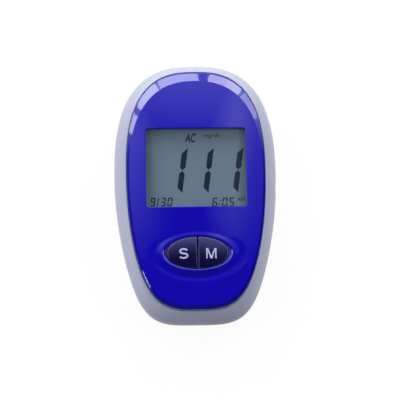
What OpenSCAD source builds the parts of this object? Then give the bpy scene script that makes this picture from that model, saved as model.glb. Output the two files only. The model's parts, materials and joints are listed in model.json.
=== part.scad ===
// Blood glucose meter: an egg-shaped pocket case that lies on its back.
// +Z points up through the display, +Y towards the strip port, X across.
// The origin is at the middle of the flat back, and every length is in millimetres.

/* [Case] */
// Length of the case
case_len = 90; // [88:0.5:96]
// Width of the case at its widest place
case_wid = 56; // [55:0.5:62]
// How far the widest place lies towards the strip port
case_wide = 4.9; // [2:0.1:8]
// Wall of the two housings
wall = 1.8; // [1.5:0.1:2.2]
// How far the rounded back edge reaches in
back_round = 6; // [5:0.5:7]
// Height of the seam between the housings
seam_z = 8; // [7:0.25:8.25]
// Height of the tongue along the seam
lip_h = 1; // [0.6:0.1:1.4]

/* [Face cover] */
// Width of the case rim at the strip port end
rim_port = 3.6; // [3:0.1:5]
// Width of the case rim at the button end
rim_low = 6; // [4.5:0.1:7]
// Width of the case rim along the sides
rim_side = 4.5; // [3.5:0.1:5]
// Cover thickness at the bevel
cover_t = 1; // [0.8:0.1:1.6]
// Rise of the cover from its bevel to its middle
crown = 1; // [0.4:0.1:2]
// Width of the bevel at the strip port end
bevel_end = 3.4; // [1.5:0.1:4.5]
// Width of the bevel along the sides
bevel_side = 0.8; // [0.4:0.1:1.4]
// Open groove between the cover and the case
groove = 0.3; // [0.2:0.05:0.5]

/* [Display] */
// Width of the display window
window_wid = 34; // [30:0.2:36]
// Length of the display window
window_len = 26.8; // [22:0.2:27.6]
// Middle of the window from the middle of the case
window_y = 8.1; // [7.6:0.1:9]
// Corner radius of the window
window_r = 0.9; // [0.4:0.1:2]
// Thickness of the clear lens
lens_t = 0.8; // [0.6:0.1:1.2]
// Thickness of the liquid crystal panel
lcd_t = 2; // [1.6:0.1:2.6]
// Height of the elastomer strip under the panel
zebra_h = 1; // [0.8:0.1:2]

/* [Buttons] */
// Width of the button pair
pair_wid = 20.6; // [18:0.2:22]
// Length of the button pair
pair_len = 10.6; // [9:0.2:12]
// Middle of the buttons from the middle of the case
button_y = -20.9; // [-22:0.1:-20]
// Gap between the two buttons
split = 0.6; // [0.4:0.1:1]
// How far a button travels
travel = 0.4; // [0.2:0.05:0.5]
// How far the buttons stand above the crown
proud = 0.6; // [0.4:0.1:1]
// Width of the raised ring around the buttons
ring_wid = 1.5; // [1:0.1:2]

/* [Batteries] */
// Diameter of a cell
cell_d = 10.5; // [10.2:0.1:10.8]
// Length of a cell with its nub
cell_len = 44.5; // [44:0.1:45]
// Clearance around a cell
cell_gap = 0.3; // [0.2:0.05:0.5]
// Working length of a contact spring
spring_len = 4; // [3:0.1:5]
// Thickness of the battery door
door_t = 1.6; // [1.4:0.1:2]
// Middle of the battery bay from the middle of the case
bay_y = -4; // [-5:0.1:-3]

/* [Board and ports] */
// Thickness of the circuit board
board_t = 1.2; // [0.8:0.1:1.6]
// Gap between the board edge and the outside of the case
board_inset = 4.2; // [4:0.1:5]
// Width of the slot for a test strip
strip_wid = 8.2; // [7:0.1:9]
// Height of the slot for a test strip
strip_slot_h = 0.8; // [0.6:0.1:1.2]
// Bore of the data jack
jack_bore_d = 3.6; // [2.6:0.1:3.6]
// Middle of the data jack from the middle of the case
jack_y = 2; // [-4:0.5:8]
// Clearance between parts that slide
slide_gap = 0.25; // [0.15:0.05:0.4]

/* [Hidden] */

$fn = 48;
steps = 96; // points along an egg outline
oval_steps = 48; // points along an oval outline
eps = 0.01;

// Shape numbers of the two egg outlines
case_n_top = 2.69; // power of the case outline at the port end
case_n_low = 3.96; // power of the case outline at the button end
case_taper = 0.17; // share by which the button end narrows
cover_len = case_len - rim_port - rim_low;
cover_wid = case_wid - 2 * rim_side;
cover_mid = (rim_low - rim_port) / 2;
cover_wide = case_wide + 0.45;
cover_n_top = 2.65;
cover_n_low = 3.31;
cover_taper = 0.11;

// Heights, from the back up
roof_t = 1;
board_gap = 0.3;
cell_z = door_t + cell_gap + cell_d / 2;
bay_top = door_t + 2 * cell_gap + cell_d;
board_z = bay_top + roof_t + board_gap;
board_top = board_z + board_t;
lcd_z = board_top + zebra_h;
lcd_top = lcd_z + lcd_t;
lens_gap = 0.2;
lens_z = lcd_top + lens_gap;
face_z = lens_z + lens_t; // underside of the cover's face
pocket_h = 2.2;
cover_z = face_z - pocket_h; // ledge that the cover sits on
ledge_t = 1.6;
rim_up = 0.6;
rim_z = cover_z + rim_up; // inner edge of the case rim
bevel_rise = 0.588; // how much the cover's bevel rises over its width
bevel_z = face_z + cover_t;
crown_z = bevel_z + crown;
button_z = crown_z + proud;

// Cover
ledge_wid = 1.6;
skirt_t = 1.4;
lip_t = (wall - 0.1) / 2;

// Battery bay
bay_wall = 1.2;
plate_t = 0.3;
plate_space = 0.6;
bay_wid = 2 * cell_d + 4 * cell_gap;
bay_len = spring_len + cell_len + plate_space;
bay_lo = bay_y - bay_len / 2;
bay_hi = bay_y + bay_len / 2;
cell_x = cell_d / 2 + cell_gap;
nub_r = 1.9;
nub_h = 0.8;

// Battery door
flange_t = 0.8;
seat = 2; // how far the door's flange reaches past the bay
door_gap = 0.2;
tab_x = 6;
tab_wid = 3;
tab_t = 0.8;
tab_reach = 1; // how far a tab reaches over the floor
tab_root = 0.9; // how far a tab's foot reaches into the bay
tab_z = door_t + 0.1;

// Screws
screw_r = 1;
screw_head_r = 1.9;
screw_head_h = 1.5;
screw_seat_z = 3;
screw_end_z = seam_z + 3.5;
post_r = 2.6;
boss_r = 3.3;
post_top = board_z - 1;
board_screw_r = 0.6;
board_screw_head_r = 1.3;
board_screw_head_h = 0.8;
board_screw_len = 2.4;
board_boss_r = 2;
upper_post_out = 5.4; // how far a post stands outside the battery bay, along X and along Y
upper_post_up = 7.45;
lower_post_out = 1.4;
lower_post_down = 5.95;
upper_board_side = 13.4;
upper_board_end = 10.5;
lower_board_side = 9.1;
lower_board_y = button_y + 6.6;

// Chips on the board
mcu_long = 9;
mcu_deep = 6;
mcu_high = 1.3;
mcu_legs = 10;
mcu_pitch = 0.8;
mcu_y = 13.5 - case_len / 2;
chip_long = 5;
chip_deep = 3.9;
chip_high = 1.4;
chip_legs = 4;
chip_pitch = 1.27;
chip_y = window_y + window_len / 2 + 7.9;
amplifier_x = -8;
memory_x = 4;
crystal_len = 6;
crystal_r = 1;
crystal_y = button_y + 8.2;
part_wid = 0.8;
part_len = 1.6;
part_high = 0.6;
part_pitch = 2.4;
close_pitch = 2;
left_row_x = -10.4;
right_row_x = 6;
port_row_x = -1.6;
port_row_end = 10;
memory_row_x = memory_x + 6;
sounder_r = 4.2;
sounder_high = 2.6;

// Strip port
port_wid = strip_wid + 4.4;
port_h = 3.6;
strip_z = board_z - 2; // middle of the strip slot
port_z = strip_z - port_h / 2;
port_front = case_len / 2 - 0.6;
port_back = case_len / 2 - 6.4;
flange_out = 1.4;
connector_len = 11;
connector_h = 3;
contact_count = 4;
contact_pitch = 1.8;

// Data jack
jack_wid = 6;
jack_h = 7.4;
jack_z = board_z - jack_h / 2;
nose_r = 2.6;
jack_in = bay_wid / 2 + bay_wall + 0.6;
jack_shoulder = case_wid / 2 - wall - 1.6;
jack_tip = case_wid / 2 - 0.5;
jack_back_t = 1;

// Buttons and switches
pair_a = pair_wid / 2;
pair_b = pair_len / 2;
flange_reach = 0.9;
flange_h = 0.8;
flange_top = face_z - 0.2;
switch_x = pair_a / 2;
switch_side = 6;
switch_h = 1.5;
plunger_r = 1;
plunger_up = 0.8;
stem_r = 1.5;
ring_up = 0.35;

// Colours
case_grey = "#b4b8c4";
cover_blue = "#2a20b4";
key_dark = "#2c2c4c";
board_green = "#1d6b3c";
chip_black = "#1c1c20";
metal = "#c4c4c0";

// ---------------------------------------------------------------- outlines

// Points of an egg outline of length l and width w. Its middle is at y = mid and its widest place
// lies at mid + wide. The port end is a superellipse of power n_top. The other end has power n_low
// and narrows by the share taper.
function egg(l, w, mid, wide, n_top, n_low, taper) = [
    for (i = [0:steps - 1])
        let (a = 360 * i / steps, c = cos(a), s = sin(a), n = s >= 0 ? n_top : n_low,
            reach = pow(pow(abs(c), n) + pow(abs(s), n), -1 / n),
            v = s >= 0 ? 0 : -reach * s)
        [w / 2 * reach * c * (1 - taper * v * v * (3 - 2 * v)),
         mid + wide + (s >= 0 ? l / 2 - wide : l / 2 + wide) * reach * s]];

// Case outline, moved in by a distance
function case_egg(inset) = egg(case_len - 2 * inset, case_wid - 2 * inset, 0, case_wide,
    case_n_top, case_n_low, case_taper);

// Cover outline, moved in by a distance
function cover_egg(inset) = egg(cover_len - 2 * inset, cover_wid - 2 * inset, cover_mid, cover_wide,
    cover_n_top, cover_n_low, cover_taper);

// Inner edge of the cover's bevel: even along the sides, wide at the port end
function bevel_egg() = egg(cover_len - bevel_side - bevel_end, cover_wid - 2 * bevel_side,
    cover_mid - (bevel_end - bevel_side) / 2, cover_wide + (bevel_end - bevel_side) / 2,
    cover_n_top, cover_n_low, cover_taper);

// Oval outline with half axes a and b
function oval(a, b) = [for (i = [0:oval_steps - 1])
    let (t = 360 * i / oval_steps) [a * cos(t), b * sin(t)]];

// Half of an oval: side is 1 for the right half and -1 for the left, cut back by half the split
function half_oval(a, b, side) = [
    for (i = [0:oval_steps / 2]) let (t = 180 * i / (oval_steps / 2) - 90)
        [side * (split / 2 + (a - split / 2) * cos(t)), side * b * sin(t)]];

// A flat outline raised to height z
function at_z(outline, z) = [for (p = outline) [p[0], p[1], z]];

// Points a share t of the way from one outline to another
function mix(from, to, t) = [for (i = [0:len(from) - 1]) from[i] * (1 - t) + to[i] * t];

// An outline shrunk to the share s about the point c
function shrink(outline, c, s) = [for (p = outline) c + (p - c) * s];

// ---------------------------------------------------------------- solids from outlines

// Triangles between stacked rings of n points, for ring pairs [a, b]
function wall_faces(n, pairs) = [
    for (q = pairs, i = [0:n - 1], half = [0, 1])
        let (j = (i + 1) % n, a = q[0] * n, b = q[1] * n)
        half == 0 ? [a + i, b + i, b + j] : [a + i, b + j, a + j]];

// Closed solid through rings. The first ring is capped below and the last one above. The rings may
// turn back inside the first ones, which makes a cup.
module loft(rings) {
    n = len(rings[0]);
    m = len(rings);
    polyhedron([for (r = rings) each r], concat(
        wall_faces(n, [for (k = [0:m - 2]) [k, k + 1]]),
        [[for (i = [0:n - 1]) i]],
        [[for (i = [n - 1:-1:0]) (m - 1) * n + i]]));
}

// Closed band: the last ring joins the first one
module band(rings) {
    n = len(rings[0]);
    m = len(rings);
    polyhedron([for (r = rings) each r], wall_faces(n, [for (k = [0:m - 1]) [k, (k + 1) % m]]));
}

// Straight solid on an outline, between two heights
module slab(outline, low, high) {
    translate([0, 0, low]) linear_extrude(high - low) polygon(outline);
}

// Box between two corners
module box(low, high) {
    translate(low) cube(high - low);
}

// Upright cylinder between two heights
module post(x, y, r, low, high) {
    translate([x, y, low]) cylinder(r = r, h = high - low);
}

// Box with upright rounded edges
module round_box(low, high, r) {
    box([low[0] + r, low[1], low[2]], [high[0] - r, high[1], high[2]]);
    box([low[0], low[1] + r, low[2]], [high[0], high[1] - r, high[2]]);
    for (x = [low[0] + r, high[0] - r], y = [low[1] + r, high[1] - r]) post(x, y, r, low[2], high[2]);
}

// Wire that winds from radius r0 to r1 over a length along +Y, round the origin
module coil(r0, r1, length, turns, wire_r) {
    sides = 6;
    n = 16 * turns;
    rings = [for (k = [0:n])
        let (t = k / n, a = 360 * turns * t, r = r0 + (r1 - r0) * t)
        [for (i = [0:sides - 1]) let (b = 360 * i / sides)
            [(r + wire_r * cos(b)) * cos(a), wire_r + (length - 2 * wire_r) * t + wire_r * sin(b),
             (r + wire_r * cos(b)) * sin(a)]]];
    loft(rings);
}

// ---------------------------------------------------------------- places

// Housing screws stand round the battery bay. Board screws are counted in from the case.
upper_post = [bay_wid / 2 + upper_post_out, bay_hi + upper_post_up];
lower_post = [bay_wid / 2 + lower_post_out, bay_lo - lower_post_down];
upper_board = [case_wid / 2 - upper_board_side, case_len / 2 - upper_board_end];
lower_board = [case_wid / 2 - lower_board_side, lower_board_y];
posts = [for (side = [-1, 1], p = [upper_post, lower_post]) [side * p[0], p[1]]];
board_points = [for (side = [-1, 1], p = [upper_board, lower_board]) [side * p[0], p[1]]];

// ---------------------------------------------------------------- housings

// Space that the battery door fills, with a gap all round
module door_seat() {
    half = bay_wid / 2 + seat + door_gap;
    round_box([-half, bay_lo - seat - door_gap, -1],
        [half, bay_hi + seat + door_gap, flange_t + 0.05], 1.5);
}

// Slots for the door's two tabs, through the bay's end wall
module tab_slots() {
    for (side = [-1, 1]) translate([side * tab_x, 0, 0])
        box([-tab_wid / 2 - door_gap, bay_hi - 1, -1],
            [tab_wid / 2 + door_gap, bay_hi + seat + door_gap, tab_z + tab_t + 0.6]);
}

// Hole in the case wall for the nose of the data jack
module jack_hole() {
    translate([jack_shoulder - 1, jack_y, jack_z]) rotate([0, 90, 0]) cylinder(r = nose_r + 0.1, h = 8);
}

module rear_housing() {
    color(case_grey) difference() {
        union() {
            loft([
                at_z(case_egg(back_round), 0),
                at_z(case_egg(back_round * 0.72), 0.5),
                at_z(case_egg(back_round * 0.46), 1.6),
                at_z(case_egg(back_round * 0.23), 3.4),
                at_z(case_egg(back_round * 0.07), 5.6),
                at_z(case_egg(0), seam_z),
                at_z(case_egg(wall - lip_t), seam_z),
                at_z(case_egg(wall - lip_t), seam_z + lip_h),
                at_z(case_egg(wall), seam_z + lip_h),
                at_z(case_egg(wall), 5.6),
                at_z(case_egg(wall + back_round * 0.25), 3),
                at_z(case_egg(wall + back_round * 0.6), door_t)]);
            box([-bay_wid / 2 - bay_wall, bay_lo - bay_wall, door_t / 2],
                [bay_wid / 2 + bay_wall, bay_hi + bay_wall, bay_top + roof_t]);
            for (p = posts) post(p[0], p[1], boss_r, door_t / 2, seam_z);
        }
        box([-bay_wid / 2, bay_lo, -1], [bay_wid / 2, bay_hi, bay_top]);
        door_seat();
        tab_slots();
        terminal_slots();
        for (p = posts) {
            post(p[0], p[1], screw_r + 0.2, -1, seam_z + 1);
            post(p[0], p[1], screw_head_r + 0.5, -1, screw_seat_z);
        }
        jack_hole();
    }
}

module front_housing() {
    color(case_grey) difference() {
        union() {
            band([
                at_z(case_egg(0), seam_z),
                at_z(case_egg(0), seam_z + 2.4),
                at_z(mix(case_egg(0), cover_egg(-groove), 0.05), seam_z + 4.2),
                at_z(mix(case_egg(0), cover_egg(-groove), 0.18), rim_z - 3.6),
                at_z(mix(case_egg(0), cover_egg(-groove), 0.4), rim_z - 1.9),
                at_z(mix(case_egg(0), cover_egg(-groove), 0.7), rim_z - 0.7),
                at_z(mix(case_egg(0), cover_egg(-groove), 0.93), rim_z - 0.1),
                at_z(cover_egg(-groove), rim_z),
                at_z(cover_egg(-groove), cover_z),
                at_z(cover_egg(ledge_wid), cover_z),
                at_z(cover_egg(ledge_wid), cover_z - ledge_t),
                at_z(case_egg(wall + 1.8), cover_z - ledge_t),
                at_z(case_egg(wall + 0.25), seam_z + 4.2),
                at_z(case_egg(wall), seam_z + lip_h + 0.15),
                at_z(case_egg(wall - lip_t - 0.1), seam_z + lip_h + 0.15),
                at_z(case_egg(wall - lip_t - 0.1), seam_z)]);
            for (p = posts) {
                post(p[0], p[1], post_r, seam_z, post_top);
                post_web(p);
            }
            for (p = board_points) post(p[0], p[1], board_boss_r, board_top, cover_z);
        }
        for (p = posts) post(p[0], p[1], screw_r + 0.05, seam_z - 1, screw_end_z + 0.5);
        for (p = board_points)
            post(p[0], p[1], board_screw_r + 0.05, board_top - 1, board_z + board_screw_len + 0.4);
        port_window();
        jack_hole();
    }
}

// Web that carries a screw post from the side wall, under the ledge
module post_web(p) {
    side = sign(p[0]);
    web_t = 1.2;
    intersection() {
        translate([p[0], p[1], 0]) rotate(side > 0 ? -20 * sign(-p[1]) : 180 + 20 * sign(-p[1]))
            box([0, -web_t / 2, seam_z + lip_h + 0.4], [12, web_t / 2, post_top]);
        slab(case_egg(wall * 0.6), seam_z, post_top);
    }
}

// Window in the end wall for the strip port
module port_window() {
    box([-port_wid / 2 - 0.1, port_back - 1, port_z - 0.1],
        [port_wid / 2 + 0.1, case_len / 2 + 1, port_z + port_h + 0.1]);
}

// ---------------------------------------------------------------- face

module face_cover() {
    mid = [0, cover_mid + 2];
    foot = cover_egg(0);
    top = bevel_egg();
    drop = [for (i = [0:steps - 1]) bevel_rise * norm(foot[i] - top[i])];
    color(cover_blue) difference() {
        union() {
            loft([
                at_z(cover_egg(skirt_t), face_z),
                at_z(cover_egg(skirt_t), cover_z),
                at_z(foot, cover_z),
                [for (i = [0:steps - 1]) [foot[i][0], foot[i][1], bevel_z - drop[i]]],
                at_z(top, bevel_z),
                for (s = [0.8, 0.6, 0.4, 0.2, 0.04])
                    at_z(shrink(bevel_egg(), mid, s), bevel_z + crown * (1 - s * s))]);
            translate([0, button_y, 0]) button_ring();
        }
        window_hole();
        translate([0, button_y, 0])
            slab(oval(pair_a + slide_gap, pair_b + slide_gap), face_z - 1, button_z + 2);
    }
}

// Raised ring around the two buttons
module button_ring() {
    a = pair_a + slide_gap;
    b = pair_b + slide_gap;
    band([
        at_z(oval(a + ring_wid, b + ring_wid), face_z + cover_t / 2),
        at_z(oval(a + ring_wid, b + ring_wid), bevel_z + crown * 0.5),
        at_z(oval(a + ring_wid * 0.72, b + ring_wid * 0.72), crown_z + ring_up * 0.4),
        at_z(oval(a + ring_wid * 0.45, b + ring_wid * 0.45), crown_z + ring_up),
        at_z(oval(a + ring_wid * 0.25, b + ring_wid * 0.25), crown_z + ring_up),
        at_z(oval(a - 0.2, b - 0.2), crown_z - 0.3),
        at_z(oval(a - 0.2, b - 0.2), face_z + cover_t / 2)]);
}

// Opening in the cover over the display
module window_hole() {
    round_box([-window_wid / 2, window_y - window_len / 2, cover_z],
        [window_wid / 2, window_y + window_len / 2, button_z + 1], window_r);
}

lens_border = 1.2;
module display_lens() {
    color("#dfe6ea", 0.35) round_box(
        [-window_wid / 2 - lens_border, window_y - window_len / 2 - lens_border, lens_z],
        [window_wid / 2 + lens_border, window_y + window_len / 2 + lens_border, face_z], window_r);
}

// ---------------------------------------------------------------- display

lcd_border = 0.6;
lcd_side = 0.9;
contact_ledge = 2.4;
lcd_x = window_wid / 2 + lcd_side;
lcd_hi = window_y + window_len / 2 + lcd_border;
lcd_lo = window_y - window_len / 2 - lcd_border;
back_glass_t = 0.45; // share of the panel taken by the back glass

module lcd_panel() {
    color("#8d9aa5") {
        box([-lcd_x, lcd_lo - contact_ledge, lcd_z], [lcd_x, lcd_hi, lcd_z + lcd_t * back_glass_t]);
        box([-lcd_x, lcd_lo, lcd_z + lcd_t * back_glass_t - eps], [lcd_x, lcd_hi, lcd_top]);
    }
}

// Frame that stands on the board and holds the panel
module lcd_holder() {
    gap = 0.15;
    frame_t = 0.8;
    low = lcd_lo - contact_ledge - gap;
    high = lcd_hi + gap;
    color("#e6e6e0") difference() {
        box([-lcd_x - gap - frame_t, low - frame_t, board_top],
            [lcd_x + gap + frame_t, high + frame_t, lcd_top]);
        box([-lcd_x - gap, low, lcd_z - eps], [lcd_x + gap, high, lcd_top + 1]);
        box([-lcd_x + 1.2, low, board_top - 1], [lcd_x - 1.2, high - 1.6, lcd_z + 1]);
    }
}

module zebra_strip() {
    end_gap = 1.4;
    side_gap = 0.2;
    color("#d2a04c") box([-lcd_x + end_gap, lcd_lo - contact_ledge + side_gap, board_top],
        [lcd_x - end_gap, lcd_lo - side_gap, lcd_z]);
}

// ---------------------------------------------------------------- board

module circuit_board() {
    color(board_green) difference() {
        slab(case_egg(board_inset), board_z, board_top);
        for (p = board_points) post(p[0], p[1], board_screw_r + 0.2, board_z - 1, board_top + 1);
    }
}

// Flat chip on the board's upper side, with legs along its long sides
module chip(x, y, long, deep, high, legs, pitch) {
    leg_reach = 0.9;
    leg_in = 0.2;
    leg_t = 0.3;
    leg_wid = pitch * 0.45;
    translate([x, y, board_top]) {
        color(chip_black) box([-long / 2, -deep / 2, 0.1], [long / 2, deep / 2, high]);
        color(metal) for (i = [0:legs - 1], side = [-1, 1])
            translate([(i - (legs - 1) / 2) * pitch, side * (deep + leg_reach - leg_in) / 2, 0])
                box([-leg_wid / 2, -(leg_reach + leg_in) / 2, 0],
                    [leg_wid / 2, (leg_reach + leg_in) / 2, leg_t]);
    }
}

module microcontroller() {
    chip(0, mcu_y, mcu_long, mcu_deep, mcu_high, mcu_legs, mcu_pitch);
}

module amplifier_chip() {
    chip(amplifier_x, chip_y, chip_long, chip_deep, chip_high, chip_legs, chip_pitch);
}

module memory_chip() {
    chip(memory_x, chip_y, chip_long, chip_deep, chip_high, chip_legs, chip_pitch);
}

module clock_crystal() {
    leg = 0.3;
    color(metal) translate([-crystal_len / 2 - 1, crystal_y, board_top + crystal_r]) {
        rotate([0, 90, 0]) cylinder(r = crystal_r, h = crystal_len);
        for (y = [-crystal_r * 0.6, crystal_r * 0.3])
            box([-2, y, -crystal_r], [0.5, y + leg, -crystal_r + leg]);
    }
}

// Small resistors and capacitors: two rows by the crystal, and others by the chips and the port
module passive_parts() {
    left_row = [for (k = [0:1]) [left_row_x + k * part_pitch, crystal_y + part_len / 4]];
    right_row = [for (k = [0:3]) [right_row_x + k * part_pitch, crystal_y + part_len / 4]];
    by_mcu = [for (side = [-1, 1], k = [0:1])
        [side * (mcu_long / 2 + part_pitch + 1.1 + k * close_pitch), mcu_y - 0.5]];
    by_port = [for (k = [0:1]) [port_row_x + k * close_pitch, case_len / 2 - port_row_end]];
    by_memory = [for (k = [0:1]) [memory_row_x + k * close_pitch, chip_y + 1]];
    for (p = concat(left_row, right_row, by_mcu, by_port, by_memory)) color("#b89a6a")
        box([p[0] - part_wid / 2, p[1] - part_len / 2, board_top],
            [p[0] + part_wid / 2, p[1] + part_len / 2, board_top + part_high]);
}

// Round sounder under the board, beside the battery bay
module buzzer() {
    sound_hole_r = 0.8;
    x = -(bay_wid / 2 + bay_wall + sounder_r + 0.8);
    color(chip_black) difference() {
        post(x, jack_y + 4, sounder_r, board_z - sounder_high, board_z);
        post(x, jack_y + 4, sound_hole_r, board_z - sounder_high - 1, board_z - sounder_high / 2);
    }
}

// ---------------------------------------------------------------- strip port

module strip_slot(low, high) {
    box([-strip_wid / 2, low, strip_z - strip_slot_h / 2],
        [strip_wid / 2, high, strip_z + strip_slot_h / 2]);
}

module strip_port() {
    mouth = 0.9; // how far the funnel opens past the slot
    color("#39394a") difference() {
        union() {
            box([-port_wid / 2, port_back, port_z], [port_wid / 2, port_front, port_z + port_h]);
            box([-port_wid / 2 - flange_out, port_back, port_z - 0.8],
                [port_wid / 2 + flange_out, port_back + 1.6, port_z + port_h]);
        }
        strip_slot(port_back - 1, port_front + 1);
        hull() {
            box([-strip_wid / 2, port_front - 2.2, strip_z - strip_slot_h / 2],
                [strip_wid / 2, port_front - 2.1, strip_z + strip_slot_h / 2]);
            box([-strip_wid / 2 - mouth, port_front, strip_z - strip_slot_h / 2 - mouth],
                [strip_wid / 2 + mouth, port_front + 0.1, strip_z + strip_slot_h / 2 + mouth]);
        }
    }
}

// Places of the strip contacts across the slot
contact_spots = [for (i = [0:contact_count - 1]) (i - (contact_count - 1) / 2) * contact_pitch];
connector_back = port_back - connector_len;
finger_wid = 0.5;
finger_t = 0.2;
finger_z = board_z - 0.8; // underside of a finger's spine

module strip_connector() {
    room = 0.2; // free space beside a finger
    color("#e8e4d8") difference() {
        box([-strip_wid / 2 - 1.6, connector_back, board_z - connector_h],
            [strip_wid / 2 + 1.6, port_back, board_z]);
        strip_slot(connector_back + 1.5, port_back + 1);
        for (x = contact_spots) translate([x, 0, 0]) {
            box([-finger_wid / 2 - room, connector_back + 1.5, strip_z],
                [finger_wid / 2 + room, port_back - 1, board_z - 0.4]);
            box([-finger_wid / 2 - room, connector_back - 1, finger_z - 0.1],
                [finger_wid / 2 + room, connector_back + 2, board_z - 0.4]);
        }
    }
}

// Sprung fingers that touch a strip, each with a tail that is soldered to the board
module strip_contacts() {
    tail = 0.8;
    for (x = contact_spots) color("#d9b45a") translate([x, 0, 0]) {
        box([-finger_wid / 2, connector_back - tail, finger_z],
            [finger_wid / 2, port_back - 1.4, finger_z + finger_t]);
        box([-finger_wid / 2, port_back - 3, strip_z + strip_slot_h / 2 + 0.1],
            [finger_wid / 2, port_back - 2.6, finger_z + finger_t / 2]);
        box([-finger_wid / 2, connector_back - tail, finger_z],
            [finger_wid / 2, connector_back - tail + finger_t, board_z]);
    }
}

// ---------------------------------------------------------------- data jack

module data_jack() {
    color(chip_black) difference() {
        union() {
            box([jack_in, jack_y - jack_wid / 2, jack_z - jack_h / 2],
                [jack_shoulder, jack_y + jack_wid / 2, board_z]);
            translate([jack_shoulder - 1, jack_y, jack_z]) rotate([0, 90, 0])
                cylinder(r = nose_r, h = jack_tip - jack_shoulder + 1);
        }
        translate([jack_in + jack_back_t, jack_y, jack_z]) rotate([0, 90, 0])
            cylinder(d = jack_bore_d, h = jack_tip - jack_in);
    }
}

// Solder tags at the sides of the jack
module jack_contacts() {
    tag_t = 0.25;
    tag_len = 1.2;
    first = jack_in + jack_back_t + 0.5;
    for (x = [first, first + jack_wid * 0.75], side = [-1, 1]) color(metal)
        translate([x, jack_y + side * (jack_wid + tag_t) / 2, 0])
            box([0, -tag_t / 2, jack_z - 1], [tag_len, tag_t / 2, board_z]);
}

// ---------------------------------------------------------------- buttons

module switch_bodies() {
    for (side = [-1, 1]) color("#3a3a3e") difference() {
        box([side * switch_x - switch_side / 2 + 0.6, button_y - switch_side / 2, board_top],
            [side * switch_x + switch_side / 2 - 0.6, button_y + switch_side / 2, board_top + switch_h]);
        post(side * switch_x, button_y, plunger_r + 0.1, board_top + 0.4, board_top + 3);
    }
}

plunger_foot = board_top + 0.5 + travel;
plunger_top = board_top + switch_h + plunger_up;
module plunger(side) {
    color("#c8b890") post(side * switch_x, button_y, plunger_r, plunger_foot, plunger_top);
}

module s_plunger() {
    plunger(-1);
}

module m_plunger() {
    plunger(1);
}

// One key: flange under the cover, straight sides through the ring, and a low dome on top
module button(side) {
    a = pair_a;
    b = pair_b;
    top = button_z - 0.6;
    color(key_dark) translate([0, button_y, 0]) {
        slab(half_oval(a + flange_reach, b + flange_reach, side), flange_top - flange_h, flange_top);
        loft([
            at_z(half_oval(a, b, side), flange_top - flange_h / 2),
            at_z(half_oval(a, b, side), top),
            at_z(half_oval(a - 0.12, b - 0.12, side), top + 0.15),
            at_z(half_oval(a - 0.5, b - 0.4, side), top + 0.3),
            at_z(half_oval(a - 2, b - 1.4, side), top + 0.48),
            at_z(half_oval(a - 5, b - 3.2, side), top + 0.6)]);
        post(side * switch_x, 0, stem_r, plunger_top, flange_top - flange_h / 2);
    }
}

module s_button() {
    button(-1);
}

module m_button() {
    button(1);
}

// ---------------------------------------------------------------- battery parts

// A cell along Y. Its nub points to +Y when up is 1 and to -Y when up is -1.
module cell(x, low, up) {
    base = up > 0 ? low : low + nub_h;
    translate([x, 0, cell_z]) rotate([-90, 0, 0]) {
        color("#c87828") translate([0, 0, base]) cylinder(d = cell_d, h = cell_len - nub_h);
        color(metal) translate([0, 0, low]) cylinder(r = nub_r, h = cell_len);
    }
}

module left_cell() {
    cell(-cell_x, bay_lo + spring_len, 1);
}

module right_cell() {
    cell(cell_x, bay_lo + plate_space, -1);
}

plate_half = 4.2;
plate_low = cell_z - 3.6;
tag_x = 5.4;
tag_wid = 1.6;

// Slots in the bay's end wall and roof for the tags of the two end terminals
module terminal_slots() {
    for (side = [-1, 1]) box([side * tag_x - tag_wid / 2 - 0.2, bay_lo, bay_top - 1],
        [side * tag_x + tag_wid / 2 + 0.2, bay_lo + plate_t + 0.3, bay_top + roof_t + 1]);
}

// Contact plate against the wall at the button end, with a tag up to the board
module end_plate(side) {
    box([side * cell_x - plate_half, bay_lo, plate_low],
        [side * cell_x + plate_half, bay_lo + plate_t, bay_top - 0.6]);
    box([side * tag_x - tag_wid / 2, bay_lo, bay_top - 1],
        [side * tag_x + tag_wid / 2, bay_lo + plate_t, board_z]);
}

module spring_terminal() {
    color(metal) {
        end_plate(-1);
        translate([-cell_x, bay_lo + plate_t - 0.1, cell_z]) coil(3.6, 2, spring_len - plate_t, 3, 0.3);
    }
}

module plate_terminal() {
    color(metal) {
        end_plate(1);
        translate([cell_x, bay_lo + plate_t - 0.1, cell_z]) rotate([-90, 0, 0])
            cylinder(r = 1.6, h = plate_space - plate_t + 0.1);
    }
}

module bridge_contact() {
    color(metal) {
        box([-cell_x - plate_half, bay_hi - plate_t, plate_low],
            [cell_x + plate_half, bay_hi, bay_top - 0.6]);
        translate([-cell_x, bay_hi - plate_space, cell_z]) rotate([-90, 0, 0])
            cylinder(r = 1.6, h = plate_space - plate_t + 0.1);
        translate([cell_x, bay_hi - plate_t + 0.1, cell_z]) rotate([0, 0, 180])
            coil(3.6, 2, spring_len - plate_t, 3, 0.3);
    }
}

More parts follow.
